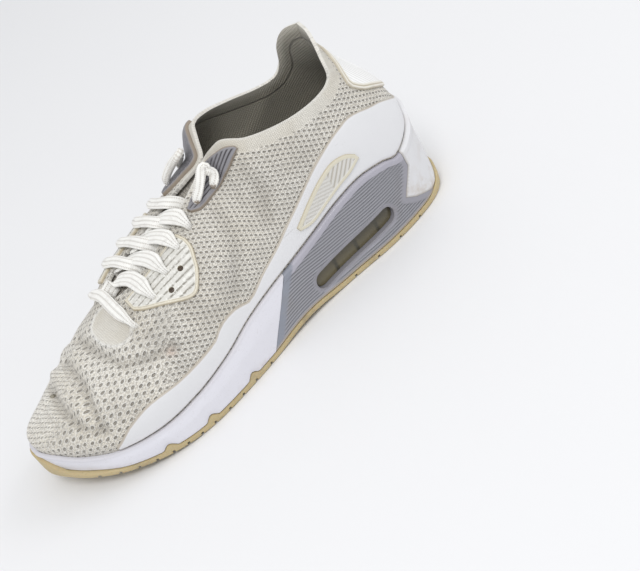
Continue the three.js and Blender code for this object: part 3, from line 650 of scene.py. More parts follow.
def grime_group():
    """Rubbed-in dirt: soft patches broken up by fine specks. Gives a mask and a height."""
    tree = bpy.data.node_groups.new("grime", "ShaderNodeTree")
    for name, kind in (("Vector", "NodeSocketVector"), ("Patch Scale", "NodeSocketFloat"),
                       ("Speck Scale", "NodeSocketFloat"), ("Cover", "NodeSocketFloat")):
        tree.interface.new_socket(name, in_out="INPUT", socket_type=kind)
    for name in ("Mask", "Specks"):
        tree.interface.new_socket(name, in_out="OUTPUT", socket_type="NodeSocketFloat")
    given = tree.nodes.new("NodeGroupInput")
    patches = noise(tree, given.outputs["Vector"], given.outputs["Patch Scale"], 4.0, 0.6)
    specks = noise(tree, given.outputs["Vector"], given.outputs["Speck Scale"], 2.0)
    start = minus(tree, 0.75, times(tree, given.outputs["Cover"], 0.4))
    mask = fade(tree, patches, start, plus(tree, start, 0.25))
    fine = fade(tree, specks, 0.60, 0.72)
    taken = tree.nodes.new("NodeGroupOutput")
    tree.links.new(mask, taken.inputs["Mask"])
    tree.links.new(fine, taken.inputs["Specks"])
    return tree


grime = grime_group()


def grime_in(tree, place, patch_scale, speck_scale, cover):
    return node(tree, "ShaderNodeGroup", {"node_tree": grime},
                {"Vector": place, "Patch Scale": patch_scale, "Speck Scale": speck_scale,
                 "Cover": cover}).outputs


def height_above(tree, place, low, high):
    """0 at one height of the shoe and 1 at another, in millimetres."""
    split = node(tree, "ShaderNodeSeparateXYZ", None, {0: place})
    return fade(tree, split.outputs[2], low * MM, high * MM)


gum_rubber, tree, shader = new_material("tread_gum", 0.55, Subsurface_Weight=0.12,
                                        Subsurface_Radius=(0.004, 0.002, 0.001),
                                        Subsurface_Scale=1.0)
place = object_place(tree)
dirt = grime_in(tree, place, 60.0, 900.0, 0.55)
scuff = times(tree, dirt["Mask"], height_above(tree, place, 22, 2))
colour = blend_colour(tree, noise(tree, place, 25.0), (0.45, 0.36, 0.19), (0.55, 0.45, 0.26))
colour = blend_colour(tree, scuff, colour, (0.30, 0.24, 0.15))
coloured(tree, shader,
         blend_colour(tree, times(tree, dirt["Specks"], 0.3), colour, (0.30, 0.22, 0.12)))
bump(tree, shader, noise(tree, place, 1400.0), 0.00008)
outsole.data.materials.append(gum_rubber)
smooth_shaded(outsole, 40)
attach(outsole, "root")
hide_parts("outsole")

# ---- Midsole ----
# Moulded foam that carries the foot: a smooth white front, and a grey heel block with fine ribs, a
# long window on each side and a white clip wrapped round the back, cemented together at two joints.
RIM_ROUND = 1.2
FOAM_BULGE = 0.45
JOINT_FOOT = 163.0
JOINT_TOP = 129.0
JOINT_HEIGHT = 36.0
CLIP_JOINT = np.array([[14, -8], [14, 4.5], [21, 7], [34, 13.5], [40.5, 18.5], [37.5, 22.5],
                       [28.5, 32.5], [28.5, 44], [28.5, 70]])
WINDOW_REAR, WINDOW_FRONT, WINDOW_RADIUS = np.array([57, 18.6]), np.array([110, 14.6]), 5.4
RIB_PITCH = 1.75
RIB_DEPTH = 0.3
BAND_PROUD = 0.45


def segment_distance(points, start, end):
    along = end - start
    t = np.clip(((points - start) @ along) / (along @ along), 0, 1)
    return np.linalg.norm(points - (start + t[..., None] * along), axis=-1)


def line_distance(points, line):
    """Least distance from each point to a line of straight pieces."""
    return np.min([segment_distance(points, a, b) for a, b in zip(line[:-1], line[1:])], axis=0)


def joint_distance(x, z):
    """How far behind the slanted front joint a point of the side view is."""
    lean = (JOINT_TOP - JOINT_FOOT) / JOINT_HEIGHT
    return (JOINT_FOOT + lean * z - x) / math.hypot(1, lean)


def heel_bands(x, z, below_rim):
    """Where the heel block is smooth rather than ribbed, and how proud it stands there."""
    side_view = np.stack([x, z], axis=-1)
    from_window = segment_distance(side_view, WINDOW_REAR, WINDOW_FRONT)
    from_clip = line_distance(side_view, CLIP_JOINT)
    near_rim = 1 - smooth_step(below_rim, 3.6, 4.4)
    near_clip = 1 - smooth_step(from_clip, 3.2, 4.0)
    near_window = 1 - smooth_step(from_window, WINDOW_RADIUS + 2.0, WINDOW_RADIUS + 2.6)
    near_joint = 1 - smooth_step(joint_distance(x, z), 4.6, 5.4)
    smooth = np.maximum.reduce([near_rim, near_clip, near_window, near_joint])
    proud = BAND_PROUD * np.maximum(near_rim, near_clip) - 0.5 * near_window
    return smooth, proud


def midsole_rows(wall_rows, ribbed):
    def rows(side, u):
        x = outline[side](u)[..., 0]
        lift = lift_at(side, u) + TREAD + notch_rise(x) + 0.05
        rim = rim_height(u)
        foot = bumper_depth(u) + 0.4
        wrapped = np.where((u < WRAP_HEEL_TO) | (u > WRAP_TOE_FROM), bumper_top[side](u), 0)
        low = np.maximum(lift + 2, wrapped)
        waist = (low + rim) / 2
        middle = np.minimum(foot, 1.6) + 0.3
        made = [sole_wall(side, u, foot + 2, lift), sole_wall(side, u, foot + 0.3, lift)]
        for w in steps(0, 1, wall_rows):
            z = lift + 0.3 + (rim - RIM_ROUND - lift - 0.3) * w
            first = np.clip((z - low) / (waist - low), 0, 1)
            second = np.clip((z - waist) / (rim - RIM_ROUND - waist), 0, 1)
            inset = foot + (middle - foot) * first + (1.3 - middle) * second
            if ribbed:
                smooth, proud = heel_bands(x, z, rim - z)
                in_clip = smooth_step(np.interp(z, CLIP_JOINT[:, 1], CLIP_JOINT[:, 0]) - x, 0, 6)
                smooth = np.maximum(smooth, in_clip)
                rib = RIB_DEPTH * np.cos((z - lift) * 2 * math.pi / RIB_PITCH)
                clear = smooth_step(z, low - 0.5, low + 0.5)
                inset = inset - (1 - smooth) * rib * clear - proud * clear - 0.5 * in_clip * clear
            else:
                inset = inset - FOAM_BULGE * math.sin(w * math.pi)
            made.append(sole_wall(side, u, np.maximum(inset, 0.1), z))
        made += [sole_wall(side, u, 1.45, rim - 0.6), sole_wall(side, u, 1.9, rim - 0.2),
                 sole_wall(side, u, 2.7, rim - 0.02)]
        for v in (0, -0.3, -0.6, -0.9):
            made.append(skin(side, u, v) + outward(side, u) * GAP)
        bed = skin(side, u, -1) + outward(side, u) * GAP
        bed[..., 2] = bed_height(bed[..., 0])
        return made + [bed]
    return rows


def cut_along(piece, point, normal, keep_front):
    """Cuts a body by a plane, drops one side and closes the cut."""
    bpy.context.view_layer.objects.active = piece
    bpy.ops.object.mode_set(mode="EDIT")
    bpy.ops.mesh.select_all(action="SELECT")
    bpy.ops.mesh.bisect(plane_co=in_row(np.array(point)), plane_no=normal, use_fill=True,
                        clear_inner=keep_front, clear_outer=not keep_front)
    bpy.ops.object.mode_set(mode="OBJECT")


def shoe_points(piece):
    """The piece's vertices in the shoe's own millimetres."""
    flat = np.empty(len(piece.data.vertices) * 3, np.float32)
    piece.data.vertices.foreach_get("co", flat)
    return flat.reshape(-1, 3).astype(float) / MM - np.array([-LENGTH / 2, CENTRE_SHIFT, 0])


def move_to(piece, points):
    piece.data.vertices.foreach_set("co", in_row(points).reshape(-1).astype(np.float32))
    piece.data.update()


def vertex_normals(piece):
    flat = np.empty(len(piece.data.vertices) * 3, np.float32)
    piece.data.vertices.foreach_get("normal", flat)
    return flat.reshape(-1, 3).astype(float)


def paint(piece, name, values):
    """Keeps one value for each vertex, for the material to read."""
    old = piece.data.attributes.get(name)
    layer = old or piece.data.attributes.new(name, "FLOAT", "POINT")
    layer.data.foreach_set("value", np.ascontiguousarray(values, np.float32))


WALK_TABLE = steps(0, 1, 800)
TOE_SHIFT = -9


def walk_near(points):
    """Walk of the outline's point nearest to each point, on its own side."""
    found = np.empty(len(points))
    for side in (LATERAL, MEDIAL):
        lateral = points[:, 1] >= TOE_SHIFT * points[:, 0] / LENGTH
        mine = lateral if side == LATERAL else ~lateral
        table = outline[side](WALK_TABLE)[:, 0]
        found[mine] = np.interp(points[mine, 0], table, WALK_TABLE)
    return found


joint_lean = math.atan2(JOINT_FOOT - JOINT_TOP, JOINT_HEIGHT)
JOINT_NORMAL = (math.cos(joint_lean), 0, math.sin(joint_lean))
FRONT_WALL_ROWS = 22
HEEL_WALL_ROWS = 118
JOINT_GAP = 0.2
CLIP_GAP = 0.12

front = plan_shell("foam_front", midsole_rows(FRONT_WALL_ROWS, False), 150, 0.36, 1.0)
cut_along(front, (JOINT_FOOT + JOINT_GAP, 0, 0), JOINT_NORMAL, True)
heel = plan_shell("heel_block", midsole_rows(HEEL_WALL_ROWS, True), 130, 0.0, 0.62)
cut_along(heel, (JOINT_FOOT - JOINT_GAP, 0, 0), JOINT_NORMAL, False)
clip_outline = [(-20, -8), *[(x, z) for x, z in CLIP_JOINT], (-20, 70)]
clip = heel.copy()
clip.data = heel.data.copy()
clip.name = clip.data.name = "heel_clip_shell"
bpy.context.scene.collection.objects.link(clip)
cut_with(clip, cross_bar("clip_bar", [(x - CLIP_GAP, z) for x, z in clip_outline]), "INTERSECT")
cut_with(heel, cross_bar("clip_bar", [(x + CLIP_GAP, z) for x, z in clip_outline]))


def long_hole(radius):
    ahead = WINDOW_FRONT - WINDOW_REAR
    tilt = math.atan2(ahead[1], ahead[0])
    ends = []
    for centre, start in ((WINDOW_FRONT, -math.pi / 2), (WINDOW_REAR, math.pi / 2)):
        for angle in tilt + start + steps(0, math.pi, 12):
            ends.append((centre[0] + radius * math.cos(angle), centre[1] + radius * math.sin(angle)))
    return ends


cut_with(heel, cross_bar("window_bar", long_hole(WINDOW_RADIUS)))


def rim_gap(points):
    """How far below the sole's rim each point is."""
    return rim_height(walk_near(points)) - points[:, 2]


points = shoe_points(heel)
smooth_band, _ = heel_bands(points[:, 0], points[:, 2], rim_gap(points))
lift = ground_lift(points[:, 0]) + TREAD
rib_crest = 0.5 + 0.5 * np.cos((points[:, 2] - lift) * 2 * math.pi / RIB_PITCH)
paint(heel, "smooth_band", smooth_band)
paint(heel, "rib_crest", rib_crest)
# Painted shade in the recessed band beside the slanted front joint.
paint(heel, "front_joint_shade", 1 - smooth_step(joint_distance(points[:, 0], points[:, 2]), 4.6, 5.2))
paint(heel, "at_rim", 1 - smooth_step(rim_gap(points), 3.6, 4.4))
paint(heel, "at_base", 1 - smooth_step(points[:, 2] - lift, 0.3, 2.2))
side_view = np.stack([points[:, 0], points[:, 2]], axis=-1)
# Painted shade round the window's edge, where the band is set back.
paint(heel, "window_rim_shade", 1 - smooth_step(segment_distance(side_view, WINDOW_REAR, WINDOW_FRONT),
                                         WINDOW_RADIUS + 0.4, WINDOW_RADIUS + 1.6))

heel_grey, tree, shader = new_material("heel_grey_rubber", 0.48, Coat_Weight=0.08)
place = object_place(tree)
dirt = grime_in(tree, place, 45.0, 700.0, 0.5)
# Painted shade: the troughs between the ribs are coloured darker, the crests lighter.
ribbed = blend_colour(tree, attribute(tree, "rib_crest"), (0.175, 0.175, 0.19),
                      (0.335, 0.335, 0.365))
colour = blend_colour(tree, attribute(tree, "smooth_band"), ribbed, (0.30, 0.295, 0.33))
colour = blend_colour(tree, attribute(tree, "at_rim"), colour, (0.40, 0.39, 0.44))
# Painted shade along the slanted front joint.
colour = blend_colour(tree, attribute(tree, "front_joint_shade"), colour, (0.25, 0.265, 0.31))
worn = times(tree, attribute(tree, "at_base"), 0.7)
colour = blend_colour(tree, worn, colour, (0.50, 0.42, 0.33))
# Painted shade round the window's edge.
colour = blend_colour(tree, times(tree, attribute(tree, "window_rim_shade"), 0.35), colour,
                      (0.16, 0.15, 0.15))
chips = fade(tree, noise(tree, place, 130.0, 4.0, 0.7), 0.70, 0.76)
colour = blend_colour(tree, times(tree, chips, 0.7), colour, (0.55, 0.50, 0.44))
coloured(tree, shader,
         blend_colour(tree, times(tree, dirt["Mask"], 0.25), colour, (0.24, 0.22, 0.20)))
tree.links.new(fade(tree, noise(tree, place, 90.0), 0.3, 0.7, 0.40, 0.58),
               shader.inputs["Roughness"])
bump(tree, shader, noise(tree, place, 1800.0), 0.00004)
heel.data.materials.append(heel_grey)
smooth_shaded(heel, 50)
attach(heel, "root")
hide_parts("midsole_heel")

points = shoe_points(clip)
side_view = np.stack([points[:, 0], points[:, 2]], axis=-1)
paint(clip, "at_joint", 1 - smooth_step(line_distance(side_view, CLIP_JOINT), 0.2, 1.6))
paint(clip, "at_base", 1 - smooth_step(points[:, 2], 14, 26))
clip_white, tree, shader = new_material("clip_white_rubber", 0.42, Coat_Weight=0.1)
place = object_place(tree)
dirt = grime_in(tree, place, 55.0, 600.0, 0.75)
scuffed = times(tree, dirt["Mask"], plus(tree, 0.25, attribute(tree, "at_base")))
colour = blend_colour(tree, attribute(tree, "at_joint"), (0.70, 0.70, 0.715), (0.42, 0.40, 0.38))
colour = blend_colour(tree, times(tree, scuffed, 0.65), colour, (0.46, 0.38, 0.30))
coloured(tree, shader, colour)
tree.links.new(fade(tree, noise(tree, place, 120.0), 0.3, 0.7, 0.34, 0.55),
               shader.inputs["Roughness"])
bump(tree, shader, noise(tree, place, 700.0), 0.00006)
clip.data.materials.append(clip_white)
smooth_shaded(clip, 50)
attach(clip, "root")
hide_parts("heel_clip")

points = shoe_points(front)
lift = ground_lift(points[:, 0]) + TREAD
paint(front, "at_base", 1 - smooth_step(points[:, 2] - lift, 0.5, 5.0))
paint(front, "at_rim", 1 - smooth_step(rim_gap(points), 0.4, 2.6))
paint(front, "at_notch", np.max([np.exp(-((points[:, 0] - at) / 3.5) ** 2) for at in FLEX_NOTCHES],
                                axis=0) * (1 - smooth_step(points[:, 2] - lift, 2, 7)))
foam_white, tree, shader = new_material("foam_white", 0.62, Subsurface_Weight=0.08,
                                        Subsurface_Radius=(0.003, 0.003, 0.003))
place = object_place(tree)
dirt = grime_in(tree, place, 50.0, 800.0, 0.6)
colour = blend_colour(tree, noise(tree, place, 14.0), (0.68, 0.675, 0.735), (0.74, 0.735, 0.775))
low_dirt = times(tree, dirt["Mask"], attribute(tree, "at_base"))
colour = blend_colour(tree, times(tree, low_dirt, 0.7), colour, (0.50, 0.44, 0.40))
colour = blend_colour(tree, times(tree, attribute(tree, "at_notch"), 0.35), colour,
                      (0.44, 0.42, 0.46))
colour = blend_colour(tree, times(tree, attribute(tree, "at_rim"), 0.35), colour,
                      (0.50, 0.48, 0.50))
specks = times(tree, dirt["Specks"], 0.12)
coloured(tree, shader, blend_colour(tree, specks, colour, (0.35, 0.32, 0.30)))
height = plus(tree, noise(tree, place, 1300.0), noise(tree, place, 160.0))
bump(tree, shader, height, 0.00007)
front.data.materials.append(foam_white)
smooth_shaded(front, 45)
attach(front, "root")
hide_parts("midsole_front")

# ---- Cushion cell ----
# Clear olive gas cushion blown in one piece, set in the heel block behind the long windows; its
# glossy face is moulded with soft upright cells. The frame's own solid is kept.
cell = bpy.data.objects["cushion_cell"]
cell_olive, tree, shader = new_material("cushion_olive", 0.24, Coat_Weight=0.3, Coat_Roughness=0.1)
place = object_place(tree)
split = node(tree, "ShaderNodeSeparateXYZ", None, {0: place})
cells = math_node(tree, "PINGPONG", times(tree, split.outputs[0], 60.0), 0.5)
# Painted shade: the cell is coloured darker towards its top and dark in the gutters between its cells.
shaded_olive = blend_colour(tree, height_above(tree, place, 10, 24), (0.13, 0.11, 0.06), (0.045, 0.038, 0.024))
coloured(tree, shader, blend_colour(tree, fade(tree, cells, 0.02, 0.12), (0.05, 0.045, 0.028), shaded_olive))
bump(tree, shader, fade(tree, cells, 0.0, 0.4), 0.0005)
cell.data.materials.clear()
cell.data.materials.append(cell_olive)

# ---- Insole ----
# Thin foam sheet covered in woven cloth, cut to the last and laid loose on the footbed, worn hollow
# under the heel and dark with use.
INSOLE_EDGE = 9.5


def insole_rows(side, u):
    low = sole_wall(side, u, INSOLE_EDGE, 0)
    bed = bed_height(low[..., 0])
    made = [sole_wall(side, u, INSOLE_EDGE + 1, bed + 0.3), sole_wall(side, u, INSOLE_EDGE, bed + 0.5)]
    for inset, up in ((-0.6, 1.5), (-0.6, 3.2), (-0.1, 4.0), (1.2, 4.25), (3.5, 4.1), (7, 3.7),
                      (12, 3.3)):
        made.append(sole_wall(side, u, INSOLE_EDGE + inset, bed + up))
    return made


insole = plan_shell("insole_sheet", insole_rows, 130)
insole_cloth, tree, shader = new_material("footbed_cloth", 0.95, Sheen_Weight=0.2)
place = object_place(tree)
weave = node(tree, "ShaderNodeTexWave", {"wave_type": "BANDS", "bands_direction": "DIAGONAL"},
             {"Vector": place, "Scale": 420.0, "Distortion": 0.6}).outputs["Fac"]
worn = noise(tree, place, 22.0, 4.0)
colour = blend_colour(tree, worn, (0.10, 0.09, 0.07), (0.20, 0.185, 0.15))
coloured(tree, shader, blend_colour(tree, times(tree, weave, 0.35), colour, (0.27, 0.25, 0.21)))
bump(tree, shader, weave, 0.0003)
insole.data.materials.append(insole_cloth)
smooth_shaded(insole, 60)
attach(insole, "root")
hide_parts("insole")

# ---- Upper ----
# One knitted sock-like shell, cream and grey yarn, lasted round the foot and cemented into the
# sole: open knit on the quarters and vamp, a dense zig-zag knit over the toe, a plain ribbed collar,
# lined inside with dark cloth. It is creased across the toes and slack round the ankle from wear.
WALL = 2.0
UPPER_COLUMNS = 250
UPPER_ROWS = 62
LOW_RISES = [-1, -0.7, -0.4, -0.15]
lateral_walk = steps(0, 1, UPPER_COLUMNS)
rises = np.concatenate([LOW_RISES, steps(0, 1, UPPER_ROWS)])
near_grid = skin(LATERAL, lateral_walk[None, :], rises[:, None])
far_grid = skin(MEDIAL, lateral_walk[None, ::-1], rises[:, None])[:, 1:]
whole = np.concatenate([near_grid, far_grid], axis=1)
walk_of = np.broadcast_to(np.concatenate([lateral_walk, lateral_walk[::-1][1:]]), whole.shape[:2])
rise_of = np.broadcast_to(rises[:, None], whole.shape[:2])
upper = laid_sheet("upper_knit", whole,
                   attributes={"walk": walk_of, "rise": rise_of})


def read_values(piece, name):
    values = np.empty(len(piece.data.vertices), np.float32)
    piece.data.attributes[name].data.foreach_get("value", values)
    return values.astype(float)


def unwrapped(piece, seam, start, ahead):
    """Opens the piece flat along a seam, at its real size in metres, with its start point at 0 and
    the point ahead of it along +X."""
    mesh = piece.data
    bpy.context.view_layer.objects.active = piece
    for edge in mesh.edges:
        edge.use_seam = bool(seam[edge.vertices[0]] and seam[edge.vertices[1]])
    bpy.ops.object.mode_set(mode="EDIT")
    bpy.ops.mesh.select_all(action="SELECT")
    bpy.ops.uv.unwrap(method="ANGLE_BASED", margin=0.0)
    bpy.ops.object.mode_set(mode="OBJECT")
    layer = mesh.uv_layers.active.data
    uv = np.empty(len(layer) * 2, np.float32)
    layer.foreach_get("uv", uv)
    uv = uv.reshape(-1, 2).astype(float)
    corner = np.empty(len(mesh.loops), np.int32)
    mesh.loops.foreach_get("vertex_index", corner)
    first = uv[np.flatnonzero(corner == start)[0]]
    second = uv[np.flatnonzero(corner == ahead)[0]]
    points = shoe_points(piece)
    real = sum(face.area for face in mesh.polygons)
    flat = 0.0
    for face in mesh.polygons:
        corners = uv[face.loop_start:face.loop_start + face.loop_total]
        x, y = corners[:, 0], corners[:, 1]
        flat += abs(np.dot(x, np.roll(y, -1)) - np.dot(y, np.roll(x, -1))) / 2
    scale = math.sqrt(real / flat)
    turn = -math.atan2(second[1] - first[1], second[0] - first[0])
    spin = np.array([[math.cos(turn), -math.sin(turn)], [math.sin(turn), math.cos(turn)]])
    uv = ((uv - first) @ spin.T) * scale
    layer.foreach_set("uv", uv.astype(np.float32).reshape(-1))


points = shoe_points(upper)


def nearest_to(place):
    return int(np.argmin(np.linalg.norm(points - np.array(place), axis=1)))


unwrapped(upper, (np.abs(points[:, 1]) < 0.02) & (points[:, 0] < 60), nearest_to(ridge(0.72)),
          nearest_to(ridge(1.0)))

# Creases pressed in by the toes' bending, each a soft trough (below 0) or ridge along a line:
# depth, half width and the points it passes, in millimetres.
CREASES = (
    (-2.9, 3.0, ((263, -24, 43), (265, -14, 44.7), (267, -5.8, 44.9), (267.9, 9.8, 44.6),
                 (267, 22.9, 42), (262, 34, 36))),
    (2.1, 3.8, ((257, -26, 47), (258.1, -13.6, 49.4), (260.7, 6.9, 48.2), (261.1, 22.2, 45.2),
                (262.5, 29.9, 40.9))),
    (-2.9, 3.2, ((249, -18, 53), (249.9, -5, 54.2), (251.7, 10.7, 52.1), (254.4, 20.5, 48.9),
                 (258.1, 29.8, 43.5), (259, 37, 35))),
    (1.6, 4.2, ((243, -8, 57.5), (244, 8, 56.5), (246, 20, 53.5), (250, 30, 47))),
    (-2.7, 3.0, ((236, -16, 60), (235.2, -2.2, 61.6), (234.1, 10.4, 60.7), (231.5, 22.3, 59.2),
                 (229, 31.6, 56.4), (223.1, 35.8, 56.1), (215.1, 41, 53.9), (202.8, 43.9, 52.7))),
    (1.7, 4.2, ((228, -6, 65), (227, 12, 64), (222, 26, 61.5), (213, 35, 59.5))),
    (-1.6, 1.8, ((198, 31, 67.5), (200.6, 33.1, 66), (207.1, 34, 63), (212.8, 33, 61.5))),
    (-1.9, 3.0, ((238, -30, 55), (232, -38, 51), (222, -44, 46), (210, -47, 41))),
    (-2.0, 3.2, ((252, -30, 47), (246, -38, 43), (238, -44, 37))),
    (1.3, 4.2, ((246, -28, 52), (240, -36, 47), (230, -43, 41))),
    (-1.7, 5.0, ((136, 22, 88), (138, 32, 76), (146, 38, 62), (156, 40, 50))),
    (1.0, 6.0, ((124, 26, 88), (127, 32, 74), (132, 35, 60))),
    (-1.6, 5.5, ((112, 24, 96), (112, 31, 82), (118, 34, 66))),
    (-1.4, 6.0, ((134, -24, 90), (138, -33, 76), (146, -38, 60))),
    (1.0, 6.0, ((122, -28, 90), (126, -34, 74), (134, -36, 58))),
    (-1.0, 5.0, ((60, 31, 93), (72, 33, 84), (88, 33, 80))),
    (-0.9, 5.0, ((58, -33, 92), (72, -34, 82), (90, -34, 78))),
)
push = np.zeros(len(points))
for depth, half_width, line in CREASES:
    off = line_distance(points, smooth_path(line, 24))
    push += depth * np.exp(-(off / half_width) ** 2)
x, y, z = points.T
push += 0.28 * np.sin(x / 7.3 + 2.1 * np.sin(z / 11.0)) * np.sin(y / 9.1 + z / 6.7)
rise = read_values(upper, "rise")
walk = read_values(upper, "walk")
push *= smooth_step(rise, 0.02, 0.16)
edge_line = {side: wall_top(side, steps(0, THROAT_END, 160)) for side in (LATERAL, MEDIAL)}
from_edge = np.minimum(line_distance(points, edge_line[LATERAL]),
                       line_distance(points, edge_line[MEDIAL]))
push *= 0.25 + 0.75 * smooth_step(from_edge, 1, 10)
move_to(upper, points + vertex_normals(upper) * push[:, None])

collar_zone = (1 - smooth_step(from_edge, 7.5, 8.6)) * (1 - smooth_step(walk, 0.50, 0.53))
paint(upper, "collar_rim", collar_zone)
paint(upper, "edge_gap", from_edge)
paint(upper, "toe_zone", smooth_step(walk + 0.16 * rise, 0.965, 1.01))
paint(upper, "vamp_zone", smooth_step(walk + 0.22 * rise, 0.74, 0.80))
pad_centre = skin(LATERAL, 0.715, 0.84)
paint(upper, "smooth_pad", 1 - smooth_step(np.linalg.norm((points - pad_centre)
                                                          / np.array([11, 19, 12]), axis=1), 0.82, 1.05))
paint(upper, "crease_shade", np.clip(-push / 2.7, 0, 1))
dirty = ((0.672, 0.45, 17, 0.8), (0.60, 0.42, 20, 0.5), (0.80, 0.30, 14, 0.45),
         (0.93, 0.35, 14, 0.5), (0.40, 0.55, 16, 0.3), (0.30, 0.72, 15, 0.3))
soil = np.zeros(len(points))
for u, v, reach, strength in dirty:
    gone = np.linalg.norm(points - skin(LATERAL, u, v), axis=1)
    soil = np.maximum(soil, strength * np.exp(-(gone / reach) ** 2))
soil = np.maximum(soil, 0.55 * (1 - smooth_step(rise, 0.0, 0.10)))
paint(upper, "soil", soil)
stain = np.linalg.norm(points - skin(LATERAL, 0.68, 0.358), axis=1)
paint(upper, "stain", np.exp(-(stain / 2.6) ** 2))
# Painted shade: the knit under the two unused eyelet holes is coloured nearly black, as the inside of
# each hole is in shade.
unused = [skin(LATERAL, 0.595, 0.742), skin(LATERAL, 0.622, 0.692)]
holes_dark = np.min([np.linalg.norm(points - centre, axis=1) for centre in unused], axis=0)
paint(upper, "eyelet_hole_shade", 1 - smooth_step(holes_dark, 2.2, 3.4))


def group_tree(name, inputs, outputs):
    tree = bpy.data.node_groups.new(name, "ShaderNodeTree")
    for key, kind in inputs:
        tree.interface.new_socket(key, in_out="INPUT", socket_type="NodeSocket" + kind)
    for key in outputs:
        tree.interface.new_socket(key, in_out="OUTPUT", socket_type="NodeSocketFloat")
    return tree, tree.nodes.new("NodeGroupInput").outputs, tree.nodes.new("NodeGroupOutput").inputs


def lattice_group():
    """Rows of small openings in a knit, every other row shifted by half a pitch."""
    tree, given, taken = group_tree(
        "knit_openings", (("Vector", "Vector"), ("Pitch X", "Float"), ("Pitch Y", "Float"),
                          ("Opening", "Float"), ("Tall", "Float"), ("Lean", "Float")), ("Mask", "Ring"))
    split = node(tree, "ShaderNodeSeparateXYZ", None, {0: given["Vector"]})
    row_place = math_node(tree, "DIVIDE", split.outputs[1], given["Pitch Y"])
    row = math_node(tree, "FLOOR", row_place)
    shift = times(tree, math_node(tree, "FLOORED_MODULO", row, 2.0), 0.5)
    slid = plus(tree, math_node(tree, "DIVIDE", split.outputs[0], given["Pitch X"]), shift)
    across = minus(tree, math_node(tree, "FRACT", slid), 0.5)
    up = minus(tree, math_node(tree, "FRACT", row_place), 0.5)
    up_mm = times(tree, up, given["Pitch Y"])
    leaned = math_node(tree, "MULTIPLY_ADD", up_mm, given["Lean"],
                       times(tree, across, given["Pitch X"]))
    tall = math_node(tree, "DIVIDE", up_mm, given["Tall"])
    off = node(tree, "ShaderNodeVectorMath", {"operation": "LENGTH"},
               {0: node(tree, "ShaderNodeCombineXYZ", None, {0: leaned, 1: tall}).outputs[0]})
    size = math_node(tree, "DIVIDE", off.outputs["Value"], given["Opening"])
    tree.links.new(fade(tree, size, 1.25, 0.65), taken["Mask"])
    ring = times(tree, fade(tree, size, 0.9, 1.4), fade(tree, size, 2.3, 1.5))
    tree.links.new(ring, taken["Ring"])
    return tree


def stitch_group():
    """Columns of knitted V stitches."""
    tree, given, taken = group_tree("knit_stitches", (("Vector", "Vector"), ("Column", "Float"),
                                                      ("Row", "Float"), ("Slope", "Float")),
                                    ("Height",))
    split = node(tree, "ShaderNodeSeparateXYZ", None, {0: given["Vector"]})
    column = math_node(tree, "DIVIDE", split.outputs[0], given["Column"])
    off = math_node(tree, "PINGPONG", column, 0.5)
    slid = math_node(tree, "MULTIPLY_ADD", off, given["Slope"],
                     math_node(tree, "DIVIDE", split.outputs[1], given["Row"]))
    yarn = fade(tree, math_node(tree, "PINGPONG", slid, 0.5), 0.02, 0.4)
    gutter = fade(tree, off, 0.02, 0.22)
    tree.links.new(times(tree, yarn, gutter), taken["Height"])
    return tree


lattice, stitches = lattice_group(), stitch_group()


def openings(tree, vector, pitch_x, pitch_y, opening, tall, lean):
    return node(tree, "ShaderNodeGroup", {"node_tree": lattice},
                {"Vector": vector, "Pitch X": pitch_x, "Pitch Y": pitch_y, "Opening": opening,
                 "Tall": tall, "Lean": lean}).outputs


def knitted(tree, vector, column, row, slope):
    return node(tree, "ShaderNodeGroup", {"node_tree": stitches},
                {"Vector": vector, "Column": column, "Row": row, "Slope": slope}).outputs["Height"]


def loosened(tree, place, vector, amount):
    """The pattern's place, moved a little here and there as a stretched knit is."""
    cloud = node(tree, "ShaderNodeTexNoise", None, {"Vector": place, "Scale": 55.0, "Detail": 2.0})
    centred = node(tree, "ShaderNodeVectorMath", {"operation": "SUBTRACT"},
                   {0: cloud.outputs["Color"], 1: (0.5, 0.5, 0.5)})
    scaled = node(tree, "ShaderNodeVectorMath", {"operation": "SCALE"}, {0: centred.outputs[0]})
    scaled.inputs["Scale"].default_value = amount
    return node(tree, "ShaderNodeVectorMath", {"operation": "ADD"},
                {0: vector, 1: scaled.outputs[0]}).outputs[0]


def in_millimetres(tree):
    place = node(tree, "ShaderNodeUVMap", {"uv_map": "UVMap"}).outputs[0]
    made = node(tree, "ShaderNodeVectorMath", {"operation": "SCALE"}, {0: place})
    made.inputs["Scale"].default_value = 1000.0
    return made.outputs[0]


YARN_LIGHT = (0.88, 0.85, 0.77)
YARN_WARM = (0.80, 0.75, 0.64)
YARN_SHADE = (0.60, 0.56, 0.49)
HOLE_DARK = (0.22, 0.19, 0.15)

knit, tree, shader = new_material("knit_yarn", 0.95, Sheen_Weight=0.3, Sheen_Roughness=0.55)
place = object_place(tree)
flat = loosened(tree, place, in_millimetres(tree), 1.3)
collar = attribute(tree, "collar_rim")
toe = attribute(tree, "toe_zone")
vamp = attribute(tree, "vamp_zone")
pad = attribute(tree, "smooth_pad")
plain = math_node(tree, "MAXIMUM", collar, pad)
quarter_holes = openings(tree, flat, 3.5, 2.7, 0.62, 1.35, 0.35)
vamp_holes = openings(tree, flat, 4.7, 3.0, 1.0, 0.6, 0.3)
toe_holes = openings(tree, flat, 2.5, 2.0, 0.34, 1.9, 0.9)
on_quarter = times(tree, quarter_holes["Mask"], minus(tree, 1.0, vamp))
on_vamp = times(tree, vamp_holes["Mask"], times(tree, vamp, minus(tree, 1.0, toe)))
on_toe = times(tree, times(tree, toe_holes["Mask"], 0.75), toe)
hole = times(tree, plus(tree, on_quarter, plus(tree, on_vamp, on_toe)), minus(tree, 1.0, plain))
fine = knitted(tree, flat, 1.7, 1.25, 1.0)
coarse = knitted(tree, flat, 4.4, 2.2, 1.6)
zigzag = knitted(tree, flat, 5.0, 1.7, 3.0)
